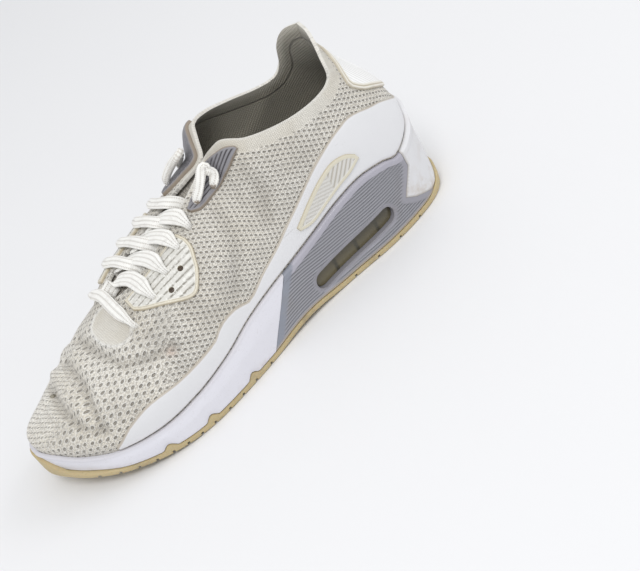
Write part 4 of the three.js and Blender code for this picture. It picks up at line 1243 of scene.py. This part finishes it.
ribbing = math_node(tree, "MULTIPLY_ADD", knitted(tree, flat, 1.15, 0.95, 0.9), 0.6, 0.4)
body = plus(tree, times(tree, fine, 0.55), times(tree, coarse, 0.45))
front_knit = plus(tree, times(tree, fine, 0.35), times(tree, zigzag, 0.65))
relief = node(tree, "ShaderNodeMix", {"data_type": "FLOAT"}, {0: toe, 2: body, 3: front_knit}).outputs[0]
relief = node(tree, "ShaderNodeMix", {"data_type": "FLOAT"},
              {0: plain, 2: relief, 3: ribbing}).outputs[0]
broad = noise(tree, place, 30.0, 4.0, 0.6)
yarn = blend_colour(tree, fade(tree, broad, 0.35, 0.65), YARN_LIGHT, YARN_WARM)
# Painted shade: the yarn is coloured darker where the stitch relief is low, between the stitches.
yarn = blend_colour(tree, fade(tree, relief, 0.75, 0.1), yarn, YARN_SHADE)
# Painted highlight: the raised ring round each opening is coloured lighter.
ring = plus(tree, times(tree, vamp_holes["Ring"], vamp),
            times(tree, quarter_holes["Ring"], minus(tree, 1.0, vamp)))
ring = times(tree, ring, minus(tree, 1.0, plain))
yarn = blend_colour(tree, times(tree, ring, 0.55), yarn, (0.91, 0.89, 0.84))
highlit_border = times(tree, times(tree, pad, minus(tree, 1.0, pad)), 4.0)
# Painted highlight along the raised border of the smooth pad.
yarn = blend_colour(tree, times(tree, highlit_border, 0.6), yarn, (0.93, 0.92, 0.88))
yarn = blend_colour(tree, times(tree, attribute(tree, "crease_shade"), 0.45), yarn, (0.36, 0.33, 0.28))
dirt = grime_in(tree, place, 55.0, 750.0, 0.5)
soiled = times(tree, attribute(tree, "soil"),
               fade(tree, noise(tree, place, 85.0, 4.0), 0.35, 0.60))
yarn = blend_colour(tree, times(tree, soiled, 0.55), yarn, (0.34, 0.325, 0.30))
yarn = blend_colour(tree, times(tree, dirt["Mask"], 0.22), yarn, (0.42, 0.37, 0.30))
yarn = blend_colour(tree, times(tree, attribute(tree, "stain"), 0.35), yarn, (0.52, 0.30, 0.22))
yarn = blend_colour(tree, times(tree, hole, 0.78), yarn, HOLE_DARK)
yarn = blend_colour(tree, fade(tree, attribute(tree, "edge_gap"), 1.6, 0.2, 0.0, 0.5), yarn,
                    (0.90, 0.88, 0.83))
# Painted shade inside the unused eyelet holes.
yarn = blend_colour(tree, attribute(tree, "eyelet_hole_shade"), yarn, (0.10, 0.07, 0.05))
coloured(tree, shader, yarn)
raised = plus(tree, times(tree, ring, 0.5), times(tree, highlit_border, 1.2))
height = minus(tree, plus(tree, relief, raised), times(tree, hole, 1.6))
bump(tree, shader, height, 0.0006)

lining, tree, shader = new_material("lining_cloth", 0.95, Sheen_Weight=0.2)
place = object_place(tree)
ply = knitted(tree, in_millimetres(tree), 1.4, 1.6, 0.8)
colour = blend_colour(tree, noise(tree, place, 24.0, 4.0), (0.25, 0.23, 0.18), (0.42, 0.39, 0.32))
# Painted shade between the stitches of the lining's ply.
colour = blend_colour(tree, fade(tree, ply, 0.6, 0.1, 0.0, 0.5), colour, (0.16, 0.145, 0.115))
# Painted light: the lining is coloured lighter near the opening's edge and darker deeper inside the
# shoe.
colour = blend_colour(tree, fade(tree, attribute(tree, "edge_gap"), 6.0, 0.5), colour,
                      (0.52, 0.49, 0.42))
seam_line = fade(tree, math_node(tree, "ABSOLUTE", minus(tree, attribute(tree, "edge_gap"), 8.6)),
                 0.9, 0.3)
colour = blend_colour(tree, times(tree, seam_line, 0.6), colour, (0.10, 0.09, 0.07))
coloured(tree, shader, colour)
bump(tree, shader, minus(tree, ply, times(tree, seam_line, 2.0)), 0.0004)

upper.data.materials.append(knit)
upper.data.materials.append(lining)
apply_modifier(upper, "SOLIDIFY", {"thickness": WALL * MM, "offset": -1.0, "material_offset": 1,
                                   "material_offset_rim": 0, "use_even_offset": False})
apply_modifier(upper, "BEVEL", {"width": 0.6 * MM, "segments": 2, "limit_method": "ANGLE",
                                "angle_limit": math.radians(60)})
smooth_shaded(upper, 70)
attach(upper, "root")
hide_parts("upper")

# ---- Tongue ----
# Knit strip under the throat, sewn to the vamp at its front end; it closes the gap under the laces.
TONGUE_THICK = 1.8
TONGUE_CLEAR = 0.9
tongue_walk = steps(0.5, 0.685, 60)
half_rises = np.array([0.8, 0.84, 0.88, 0.92, 0.95])


def tongue_half(side):
    u, v = np.meshgrid(tongue_walk, half_rises, indexing="ij")
    return above(side, u, v, 0 * u - WALL - TONGUE_CLEAR)


near, far = tongue_half(LATERAL), tongue_half(MEDIAL)[:, ::-1]
bridge = (near[:, -1:] + far[:, :1]) / 2
ladder = np.concatenate([near, bridge, far], axis=1)
across = np.stack([smooth_path(row, 34) for row in ladder])
tongue = laid_sheet("tongue_knit", across, np.stack(np.meshgrid(
    steps(0, 0.082, 60), np.linspace(0, 0.05, 34), indexing="ij"), axis=-1))
if vertex_normals(tongue)[:, 2].mean() < 0:
    deselect_all()
    tongue.select_set(True)
    bpy.context.view_layer.objects.active = tongue
    bpy.ops.object.mode_set(mode="EDIT")
    bpy.ops.mesh.flip_normals()
    bpy.ops.object.mode_set(mode="OBJECT")
tongue_knit, tree, shader = new_material("tongue_knit", 0.95, Sheen_Weight=0.3)
flat = in_millimetres(tree)
ply = knitted(tree, flat, 1.9, 1.5, 1.0)
holes = openings(tree, flat, 3.4, 2.8, 0.5, 1.4, 0.0)["Mask"]
# Painted shade: the tongue's knit is coloured darker between its stitches.
colour = blend_colour(tree, fade(tree, ply, 0.1, 0.7), (0.30, 0.27, 0.225), (0.56, 0.52, 0.45))
coloured(tree, shader, blend_colour(tree, times(tree, holes, 0.8), colour, HOLE_DARK))
bump(tree, shader, minus(tree, ply, holes), 0.0005)
tongue.data.materials.append(tongue_knit)
apply_modifier(tongue, "SOLIDIFY", {"thickness": TONGUE_THICK * MM, "offset": -1.0})
smooth_shaded(tongue, 60)
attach(tongue, "root")
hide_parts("tongue")

# ---- Mudguard ----
# Thin glossy film fused on the knit all round the foot above the sole, high at the heel and fading
# out before the toe; brown dirt has gathered along its upper edge.
FILM_PROUD = 1.35
FILM_THICK = 1.0
GUARD_END = 0.858
GUARD_COLUMNS = 260
guard_top = height_course([[0, 0.04], [0.04, 0.07], [0.08, 0.25], [0.115, 0.44], [0.158, 0.63],
                           [0.208, 0.61], [0.278, 0.49], [0.362, 0.325], [0.44, 0.175],
                           [0.5, 0.12], [0.538, 0.085], [0.565, 0.15], [0.6, 0.19], [0.62, 0.16],
                           [0.658, 0.165], [0.705, 0.17], [0.755, 0.205], [0.78, 0.205],
                           [0.818, 0.155], [0.84, 0.09], [0.858, 0.035]])


def around_edge(points):
    """The rim of a grid of points, as one closed line."""
    return np.concatenate([points[0], points[:, -1], points[-1, ::-1], points[::-1, 0]])


def nearest_edge(points, closed_line):
    flat = points.reshape(-1, 3)
    found = np.concatenate([line_distance(part, closed_line) for part in np.array_split(
        flat, max(1, len(flat) // 2000))])
    return found.reshape(points.shape[:-1])


def run_along(points):
    return np.concatenate([[0], np.cumsum(np.linalg.norm(np.diff(points, axis=0), axis=1))])


EDGE_STEP = 4


def film(name, side, u, v, base, proud, roll, thick, relief=None):
    """Moulded trim laid on the upper: a closed plate that stands proud of the knit, rounded down
    to the base at its edge over the width of its roll. side may change over the sheet. The
    distance from its edge is kept as "edge"."""
    lateral, medial = above(LATERAL, u, v, 0 * u), above(MEDIAL, u, v, 0 * u)
    on_side = (np.broadcast_to(side, u.shape) > 0)[..., None]
    on_knit = np.where(on_side, lateral, medial)
    normal = np.where(on_side, skin_normal(LATERAL, u, v), skin_normal(MEDIAL, u, v))
    edge = nearest_edge(on_knit, around_edge(on_knit)[::EDGE_STEP])
    lip = np.sqrt(1 - (1 - np.clip(edge / roll, 0, 1)) ** 2)
    height = base + (proud - base) * lip
    if relief is not None:
        height = height + relief(on_knit, edge)
    sheet = on_knit + normal * height[..., None]
    under = on_knit + normal * (base - thick)
    cap = (sheet[:, [0, -1]] + under[:, [0, -1]]) / 2
    real_u = run_along(on_knit[len(on_knit) // 2])
    real_v = run_along(on_knit[:, on_knit.shape[1] // 2])
    uv = np.stack(np.broadcast_arrays(real_u[None, :], real_v[:, None]), axis=-1) * MM

    def wrapped(over, below, ends):
        sheets = [np.concatenate([ends[:, :1], part, ends[:, 1:]], axis=1) for part in (over, below)]
        return np.concatenate([sheets[0], sheets[1][::-1], sheets[0][:1]])

    return laid_sheet(name, wrapped(sheet, under, cap), wrapped(uv, uv, uv[:, [0, -1]]),
                      {"edge": wrapped(edge, edge, edge[:, [0, -1]])})


def both_halves(u_end, columns, low, high, rows):
    """Walk, rise and side of a sheet that passes round the heel, from medial to lateral."""
    walk = np.concatenate([steps(u_end, 0, columns), steps(0, u_end, columns)[1:]])
    side = np.concatenate([-np.ones(columns + 1), np.ones(columns)])
    share = steps(0, 1, rows)
    u = np.broadcast_to(walk, (rows + 1, len(walk)))
    v = low(walk) + (high(walk) - low(walk)) * share[:, None]
    return np.broadcast_to(side, u.shape), u, v


side, u, v = both_halves(GUARD_END, GUARD_COLUMNS, lambda w: 0.012 + 0 * w, guard_top, 26)
guard = film("mudguard_film", side, u, v, 0.5, FILM_PROUD, 1.6, FILM_THICK)
guard_film, tree, shader = new_material("guard_film", 0.36, Coat_Weight=0.15, Coat_Roughness=0.25)
place = object_place(tree)
dirt = grime_in(tree, place, 38.0, 900.0, 0.45)
edge = attribute(tree, "edge")
colour = blend_colour(tree, noise(tree, place, 12.0), (0.70, 0.70, 0.715), (0.76, 0.76, 0.77))
colour = blend_colour(tree, fade(tree, edge, 1.2, 0.4, 0.0, 0.75), colour, (0.40, 0.34, 0.25))
scratch = node(tree, "ShaderNodeTexNoise", None, {"Scale": 1.0, "Detail": 3.0})
stretch = node(tree, "ShaderNodeMapping", None, {0: place})
stretch.inputs["Scale"].default_value = (60.0, 60.0, 420.0)
stretch.inputs["Rotation"].default_value = (0.0, 0.6, 0.3)
tree.links.new(stretch.outputs[0], scratch.inputs["Vector"])
scratches = fade(tree, scratch.outputs["Fac"], 0.70, 0.76)
colour = blend_colour(tree, times(tree, scratches, 0.30), colour, (0.38, 0.36, 0.34))
specks = times(tree, dirt["Specks"], times(tree, dirt["Mask"], 0.6))
coloured(tree, shader, blend_colour(tree, specks, colour, (0.36, 0.32, 0.28)))
tree.links.new(fade(tree, noise(tree, place, 60.0), 0.3, 0.7, 0.28, 0.46),
               shader.inputs["Roughness"])
film_grain = plus(tree, noise(tree, place, 1500.0), times(tree, scratches, -0.8))
bump(tree, shader, film_grain, 0.00007)
guard.data.materials.append(guard_film)
smooth_shaded(guard, 50)
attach(guard, "root")
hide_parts("mudguard")

# ---- Heel tab ----
# Moulded plastic panel on the back of the heel under the collar's peak, with fine upright ribs in a
# double raised outline that has yellowed; it is fused on the knit.
TAB_PROUD = 1.65
tab_low = height_course([[0, 0.14], [0.02, 0.15], [0.04, 0.19], [0.06, 0.29], [0.08, 0.41],
                         [0.1, 0.54], [0.113, 0.68]])
tab_high = height_course([[0, 0.8], [0.02, 0.795], [0.04, 0.79], [0.06, 0.79], [0.08, 0.79],
                          [0.1, 0.775], [0.113, 0.74]])


def tab_relief(points, edge):
    """Upright ribs inside the outline, and a groove between its two lines."""
    inside = smooth_step(edge, 3.2, 3.8)
    ribs = 0.16 * np.cos(points[..., 1] * 2 * math.pi / 1.7) - 0.22
    groove = -0.35 * np.exp(-((edge - 1.9) / 0.4) ** 2)
    return inside * ribs + groove


side, u, v = both_halves(0.113, 62, tab_low, tab_high, 90)
tab = film("heel_tab_panel", side, u, v, 0.5, TAB_PROUD, 0.9, 1.0, tab_relief)
trim_cream, tree, shader = new_material("tab_cream", 0.45, Coat_Weight=0.1)
place = object_place(tree)
edge = attribute(tree, "edge")
dirt = grime_in(tree, place, 60.0, 800.0, 0.5)
split = node(tree, "ShaderNodeSeparateXYZ", None, {0: place})
rib = math_node(tree, "PINGPONG", times(tree, split.outputs[1], 1000 / 1.7), 0.5)
inside = fade(tree, edge, 3.0, 3.8)
# Painted shade: the troughs between the upright ribs are coloured darker.
colour = blend_colour(tree, times(tree, fade(tree, rib, 0.34, 0.5), inside), (0.90, 0.90, 0.89),
                      (0.70, 0.69, 0.67))
yellowed = minus(tree, 1.0, inside)
colour = blend_colour(tree, times(tree, yellowed, 0.55), colour, (0.66, 0.61, 0.48))
# Painted shade, with dirt, in the groove between the outline's two lines.
groove_line = fade(tree, math_node(tree, "ABSOLUTE", minus(tree, edge, 1.9)), 0.7, 0.1)
colour = blend_colour(tree, times(tree, groove_line, 0.75), colour, (0.40, 0.33, 0.21))
colour = blend_colour(tree, fade(tree, edge, 0.8, 0.0, 0.0, 0.7), colour, (0.42, 0.36, 0.25))
coloured(tree, shader,
         blend_colour(tree, times(tree, dirt["Mask"], 0.25), colour, (0.45, 0.40, 0.33)))
bump(tree, shader, noise(tree, place, 1500.0), 0.00005)
tab.data.materials.append(trim_cream)
smooth_shaded(tab, 50)
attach(tab, "root")
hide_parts("heel_tab")

# ---- Badge plate ----
# Leaf-shaped moulded plate fused on the lateral side of the mudguard: bare, with slanted grooves
# towards both ends and plain fine ribs between, inside a raised outline.
BADGE_LOW = ((0.4, 0.108), (0.37, 0.067), (0.335, 0.075), (0.295, 0.1), (0.258, 0.125), (0.226, 0.2))
BADGE_HIGH = ((0.403, 0.145), (0.36, 0.235), (0.312, 0.317), (0.275, 0.358), (0.245, 0.33),
              (0.228, 0.26))


def leaf(low_edge, high_edge, columns, rows):
    """Walk and rise over a patch between two edges, each a list of (walk, rise)."""
    share = steps(0, 1, columns)
    low = course([(i / (len(low_edge) - 1), *p) for i, p in enumerate(low_edge)])(share)
    high = course([(i / (len(high_edge) - 1), *p) for i, p in enumerate(high_edge)])(share)
    rise = steps(0, 1, rows)[:, None, None]
    both = low[None] * (1 - rise) + high[None] * rise
    return both[..., 0], both[..., 1]


def badge_relief(points, edge):
    inside = smooth_step(edge, 2.2, 2.7)
    along = (points[..., 0] - 89) / 27
    slanted = np.cos((points[..., 0] + 0.9 * points[..., 2]) * 2 * math.pi / 3.6)
    plain = np.cos((points[..., 2] - 0.25 * points[..., 0]) * 2 * math.pi / 2.2)
    ends = smooth_step(np.abs(along), 0.42, 0.5)
    cut = np.where(ends > 0.5, 0.32 * smooth_step(-slanted, 0.1, 0.8), 0.16 * smooth_step(
        -plain, 0.0, 0.8))
    return -inside * (cut + 0.15)


u, v = leaf(BADGE_LOW, BADGE_HIGH, 110, 46)
badge = film("badge_leaf", LATERAL, u, v, FILM_PROUD, 2.5, 0.8, 0.9, badge_relief)
badge_cream, tree, shader = new_material("badge_cream", 0.42, Coat_Weight=0.1)
place = object_place(tree)
edge = attribute(tree, "edge")
inside = fade(tree, edge, 2.0, 2.6)
colour = blend_colour(tree, inside, (0.66, 0.62, 0.50), (0.74, 0.735, 0.715))
# Painted shade, with dirt, in the pressed-in grooves.
colour = blend_colour(tree, attribute(tree, "groove"), colour, (0.47, 0.44, 0.38))
colour = blend_colour(tree, fade(tree, edge, 0.7, 0.0, 0.0, 0.75), colour, (0.46, 0.40, 0.28))
coloured(tree, shader,
         blend_colour(tree, fade(tree, noise(tree, place, 90.0), 0.55, 0.75, 0, 0.2), colour,
                      (0.50, 0.45, 0.38)))
bump(tree, shader, noise(tree, place, 1500.0), 0.00005)


def paint_groove_shade(piece, relief, depth):
    """Darkens what the relief presses in: painted shade in the grooves, with dirt gathered in them."""
    points = shoe_points(piece)
    pressed = -relief(points, read_values(piece, "edge"))
    paint(piece, "groove", np.clip(pressed / depth, 0, 1))


paint_groove_shade(badge, badge_relief, 0.45)
badge.data.materials.append(badge_cream)
smooth_shaded(badge, 50)
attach(badge, "root")
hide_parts("badge_plate")

# ---- Eyestays ----
# Two shield-shaped moulded plates, fused on the knit beside the throat, with slanted grooves inside
# a rolled edge and punched holes: three for the lace, two unused.
EYESTAY_LOW = ((0.668, 0.81), (0.66, 0.755), (0.645, 0.685), (0.63, 0.61), (0.612, 0.53),
               (0.598, 0.515), (0.582, 0.6), (0.575, 0.68), (0.569, 0.76), (0.568, 0.84))
EYESTAY_HIGH = ((0.667, 0.92), (0.656, 0.935), (0.645, 0.94), (0.634, 0.94), (0.623, 0.94),
                (0.612, 0.94), (0.601, 0.94), (0.59, 0.94), (0.579, 0.935), (0.571, 0.92))
EYELETS = {LATERAL: ((0.68, 0.7), (0.642, 0.77), (0.612, 0.817), (0.582, 0.85), (0.555, 0.867)),
           MEDIAL: ((0.682, 0.8), (0.645, 0.8), (0.615, 0.82), (0.585, 0.85), (0.557, 0.87))}
SPARE_HOLES = ((0.597, 0.735), (0.622, 0.69))
HOLE_RADIUS = 1.7


def grooves_along(points, start, end, pitch):
    """Cosine of even grooves over a plate, that run from one (walk, rise) towards another."""
    side = LATERAL if points[..., 1].mean() > 0 else MEDIAL
    first, last = skin(side, *start), skin(side, *end)
    normal = skin_normal(side, (start[0] + end[0]) / 2, (start[1] + end[1]) / 2)
    across = unit(np.cross(normal, last - first))
    return np.cos((points - first) @ across * 2 * math.pi / pitch)


def eyestay_relief(points, edge):
    inside = smooth_step(edge, 1.9, 2.4)
    stripe = smooth_step(grooves_along(points, (0.642, 0.767), (0.575, 0.70), 3.7), 0.62, 0.92)
    outline_groove = 0.22 * np.exp(-((edge - 1.5) / 0.25) ** 2)
    return -inside * (0.45 * stripe + 0.12) - outline_groove


def punched(piece, side, holes, radius=HOLE_RADIUS):
    """Punches round holes straight through a thin plate."""
    punches = []
    for u, v in holes:
        centre = above(side, u, v, 0.5)
        normal = Vector(skin_normal(side, u, v))
        deselect_all()
        bpy.ops.mesh.primitive_cylinder_add(vertices=24, radius=radius * MM, depth=9 * MM,
                                            location=in_row(centre),
                                            rotation=normal.to_track_quat("Z", "Y").to_euler())
        bpy.ops.object.transform_apply(location=True, rotation=True, scale=True)
        punches.append(bpy.context.active_object)
    cut_with(piece, joined(punches, "punches"))


shield_cream, tree, shader = new_material("shield_cream", 0.5, Coat_Weight=0.08)
place = object_place(tree)
edge = attribute(tree, "edge")
dirt = grime_in(tree, place, 70.0, 700.0, 0.5)
colour = blend_colour(tree, fade(tree, edge, 2.2, 1.7), (0.80, 0.79, 0.745), (0.70, 0.65, 0.53))
dashes = fade(tree, noise(tree, place, 520.0, 2.0), 0.36, 0.50, 0.25, 1.0)
# Painted shade, with dirt, in the pressed-in slanted grooves, broken into dashes.
colour = blend_colour(tree, times(tree, attribute(tree, "groove"), dashes), colour,
                      (0.30, 0.28, 0.24))
colour = blend_colour(tree, fade(tree, edge, 0.8, 0.0, 0.0, 0.75), colour, (0.44, 0.37, 0.25))
coloured(tree, shader,
         blend_colour(tree, times(tree, dirt["Mask"], 0.25), colour, (0.45, 0.40, 0.33)))
bump(tree, shader, noise(tree, place, 1400.0), 0.00005)

for side, side_name in ((LATERAL, "lateral"), (MEDIAL, "medial")):
    u, v = leaf(EYESTAY_LOW, EYESTAY_HIGH, 92, 76)
    shield = film(f"shield_{side_name}", side, u, v, 0.4, 1.65, 0.9, 1.2, eyestay_relief)
    paint_groove_shade(shield, eyestay_relief, 0.45)
    punched(shield, side, (*EYELETS[side][1:4], *SPARE_HOLES))
    shield.data.materials.append(shield_cream)
    smooth_shaded(shield, 45)
    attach(shield, "root")
    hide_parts(f"eyestay_{side_name}")

# ---- Collar petals ----
# Two soft moulded petals, grey with dark grooves, sewn on the knit on both sides of the V so that
# the lace can draw the collar in; each has two punched holes.
PETAL_LOW = ((0.408, 0.908), (0.432, 0.842), (0.455, 0.808), (0.48, 0.8), (0.508, 0.825),
             (0.525, 0.842), (0.533, 0.862), (0.541, 0.905))
PETAL_HIGH = ((0.41, 0.93), (0.43, 0.945), (0.448, 0.96), (0.465, 0.972), (0.488, 0.975),
              (0.51, 0.965), (0.528, 0.955), (0.542, 0.94))
PETAL_HOLES = ((0.5265, 0.895), (0.494, 0.843))


def petal_relief(points, edge):
    inside = smooth_step(edge, 1.2, 1.7)
    lines = grooves_along(points, (0.425, 0.89), (0.53, 0.89), 2.1)
    return -inside * 0.35 * smooth_step(lines, 0.2, 0.8)


petal_grey, tree, shader = new_material("petal_rubber", 0.55)
place = object_place(tree)
edge = attribute(tree, "edge")
colour = blend_colour(tree, noise(tree, place, 70.0), (0.21, 0.205, 0.225), (0.30, 0.295, 0.31))
# Painted shade, with dirt, in the pressed-in grooves.
colour = blend_colour(tree, attribute(tree, "groove"), colour, (0.055, 0.05, 0.055))
colour = blend_colour(tree, fade(tree, edge, 0.9, 0.1, 0.0, 0.7), colour, (0.30, 0.23, 0.15))
coloured(tree, shader, colour)
bump(tree, shader, noise(tree, place, 1400.0), 0.00006)

for side, side_name in ((LATERAL, "lateral"), (MEDIAL, "medial")):
    u, v = leaf(PETAL_LOW, PETAL_HIGH, 96, 40)
    petal = film(f"petal_pad_{side_name}", side, u, v, 0.4, 2.4, 0.9, 1.8, petal_relief)
    paint_groove_shade(petal, petal_relief, 0.32)
    punched(petal, side, PETAL_HOLES, 1.9)
    petal.data.materials.append(petal_grey)
    smooth_shaded(petal, 45)
    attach(petal, "root")
    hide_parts(f"petal_{side_name}")

# ---- Laces ----
# One flat woven cotton lace in five rows: a straight bar at the bottom that enters both eyelets
# from the top, then crossings that come out from under one edge of the throat, pass over the
# opening and fold down into the next eyelet of the other side.
LACE_HALF_WIDTH = 3.7
LACE_HALF_THICK = 1.05
STRAND_POINTS = 56


def edge_point(side, u, inward, up):
    """Beside the throat's edge: so far towards the other side, and so far up."""
    near, far = wall_top(side, u), wall_top(-side, u)
    return near + unit(far - near) * inward + np.array([0, 0, up])


EYELET_DEPTH = -1.2


def into_eyelet(side, row):
    """The fold of the lace over a shoulder and down into an eyelet."""
    u, v = EYELETS[side][row]
    shoulder = v + (1 - v) * 0.62
    lift = 3.6 if side == LATERAL else 3.2
    return [above(side, u, shoulder, lift), above(side, u, v + (1 - v) * 0.3, lift),
            above(side, u, v + 0.012, 2.8), above(side, u, v, 0.9), above(side, u, v, EYELET_DEPTH)]


def slope_of(u):
    return wall_top(LATERAL, u + 0.02) - wall_top(LATERAL, u - 0.02)


strands = []


def lay_strand(points, u, narrow_start, lift_twist, half_width=LACE_HALF_WIDTH):
    path = smooth_path(points, STRAND_POINTS)
    t = np.linspace(0, 1, STRAND_POINTS)
    narrowing = 1 - 0.62 * smooth_step(t, 0.72, 0.97)
    if narrow_start:
        narrowing = narrowing * (1 - 0.62 * smooth_step(1 - t, 0.72, 0.97))
    plump = 1 + 0.45 * smooth_step(t, 0.6, 0.9)
    broad = np.broadcast_to(slope_of(u), path.shape)
    strands.append(woven_lace(f"strand_{len(strands)}", path, broad, half_width * narrowing,
                              LACE_HALF_THICK * plump, twist=lift_twist * np.sin(t * math.pi * 2)))


middle = (edge_point(LATERAL, 0.684, 0, 0) + edge_point(MEDIAL, 0.684, 0, 0)) / 2
middle[2] += 3.6
lay_strand([*into_eyelet(MEDIAL, 0)[::-1], middle, *into_eyelet(LATERAL, 0)], 0.68, True, 0.12)
for row in range(4):
    for side, lift, half_width in ((MEDIAL, 1.4, 4.8), (LATERAL, 3.6, LACE_HALF_WIDTH)):
        start_u = EYELETS[side][row][0] - 0.004
        end_u = EYELETS[-side][row + 1][0]
        if side == LATERAL:
            start_u = end_u - 0.018
        over = (wall_top(side, start_u * 0.5 + end_u * 0.5) + wall_top(-side, start_u * 0.45
                                                                     + end_u * 0.55)) / 2
        start = [edge_point(side, start_u, 2.0, -5.0), edge_point(side, start_u, 3.2, -1.0)]
        far_edge = edge_point(-side, end_u + (0.006 if side == MEDIAL else -0.003), 0.6, 3.0)
        lay_strand([*start, over + np.array([0, 0, lift]), far_edge, *into_eyelet(-side, row + 1)],
                   (start_u + end_u) / 2, False, 0.12 * (-1) ** row, half_width)
laces = joined(strands, "lace_crossings")
laces.data.materials.clear()
laces.data.materials.append(lace_cotton)
smooth_shaded(laces, 60)
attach(laces, "root")
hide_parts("laces")
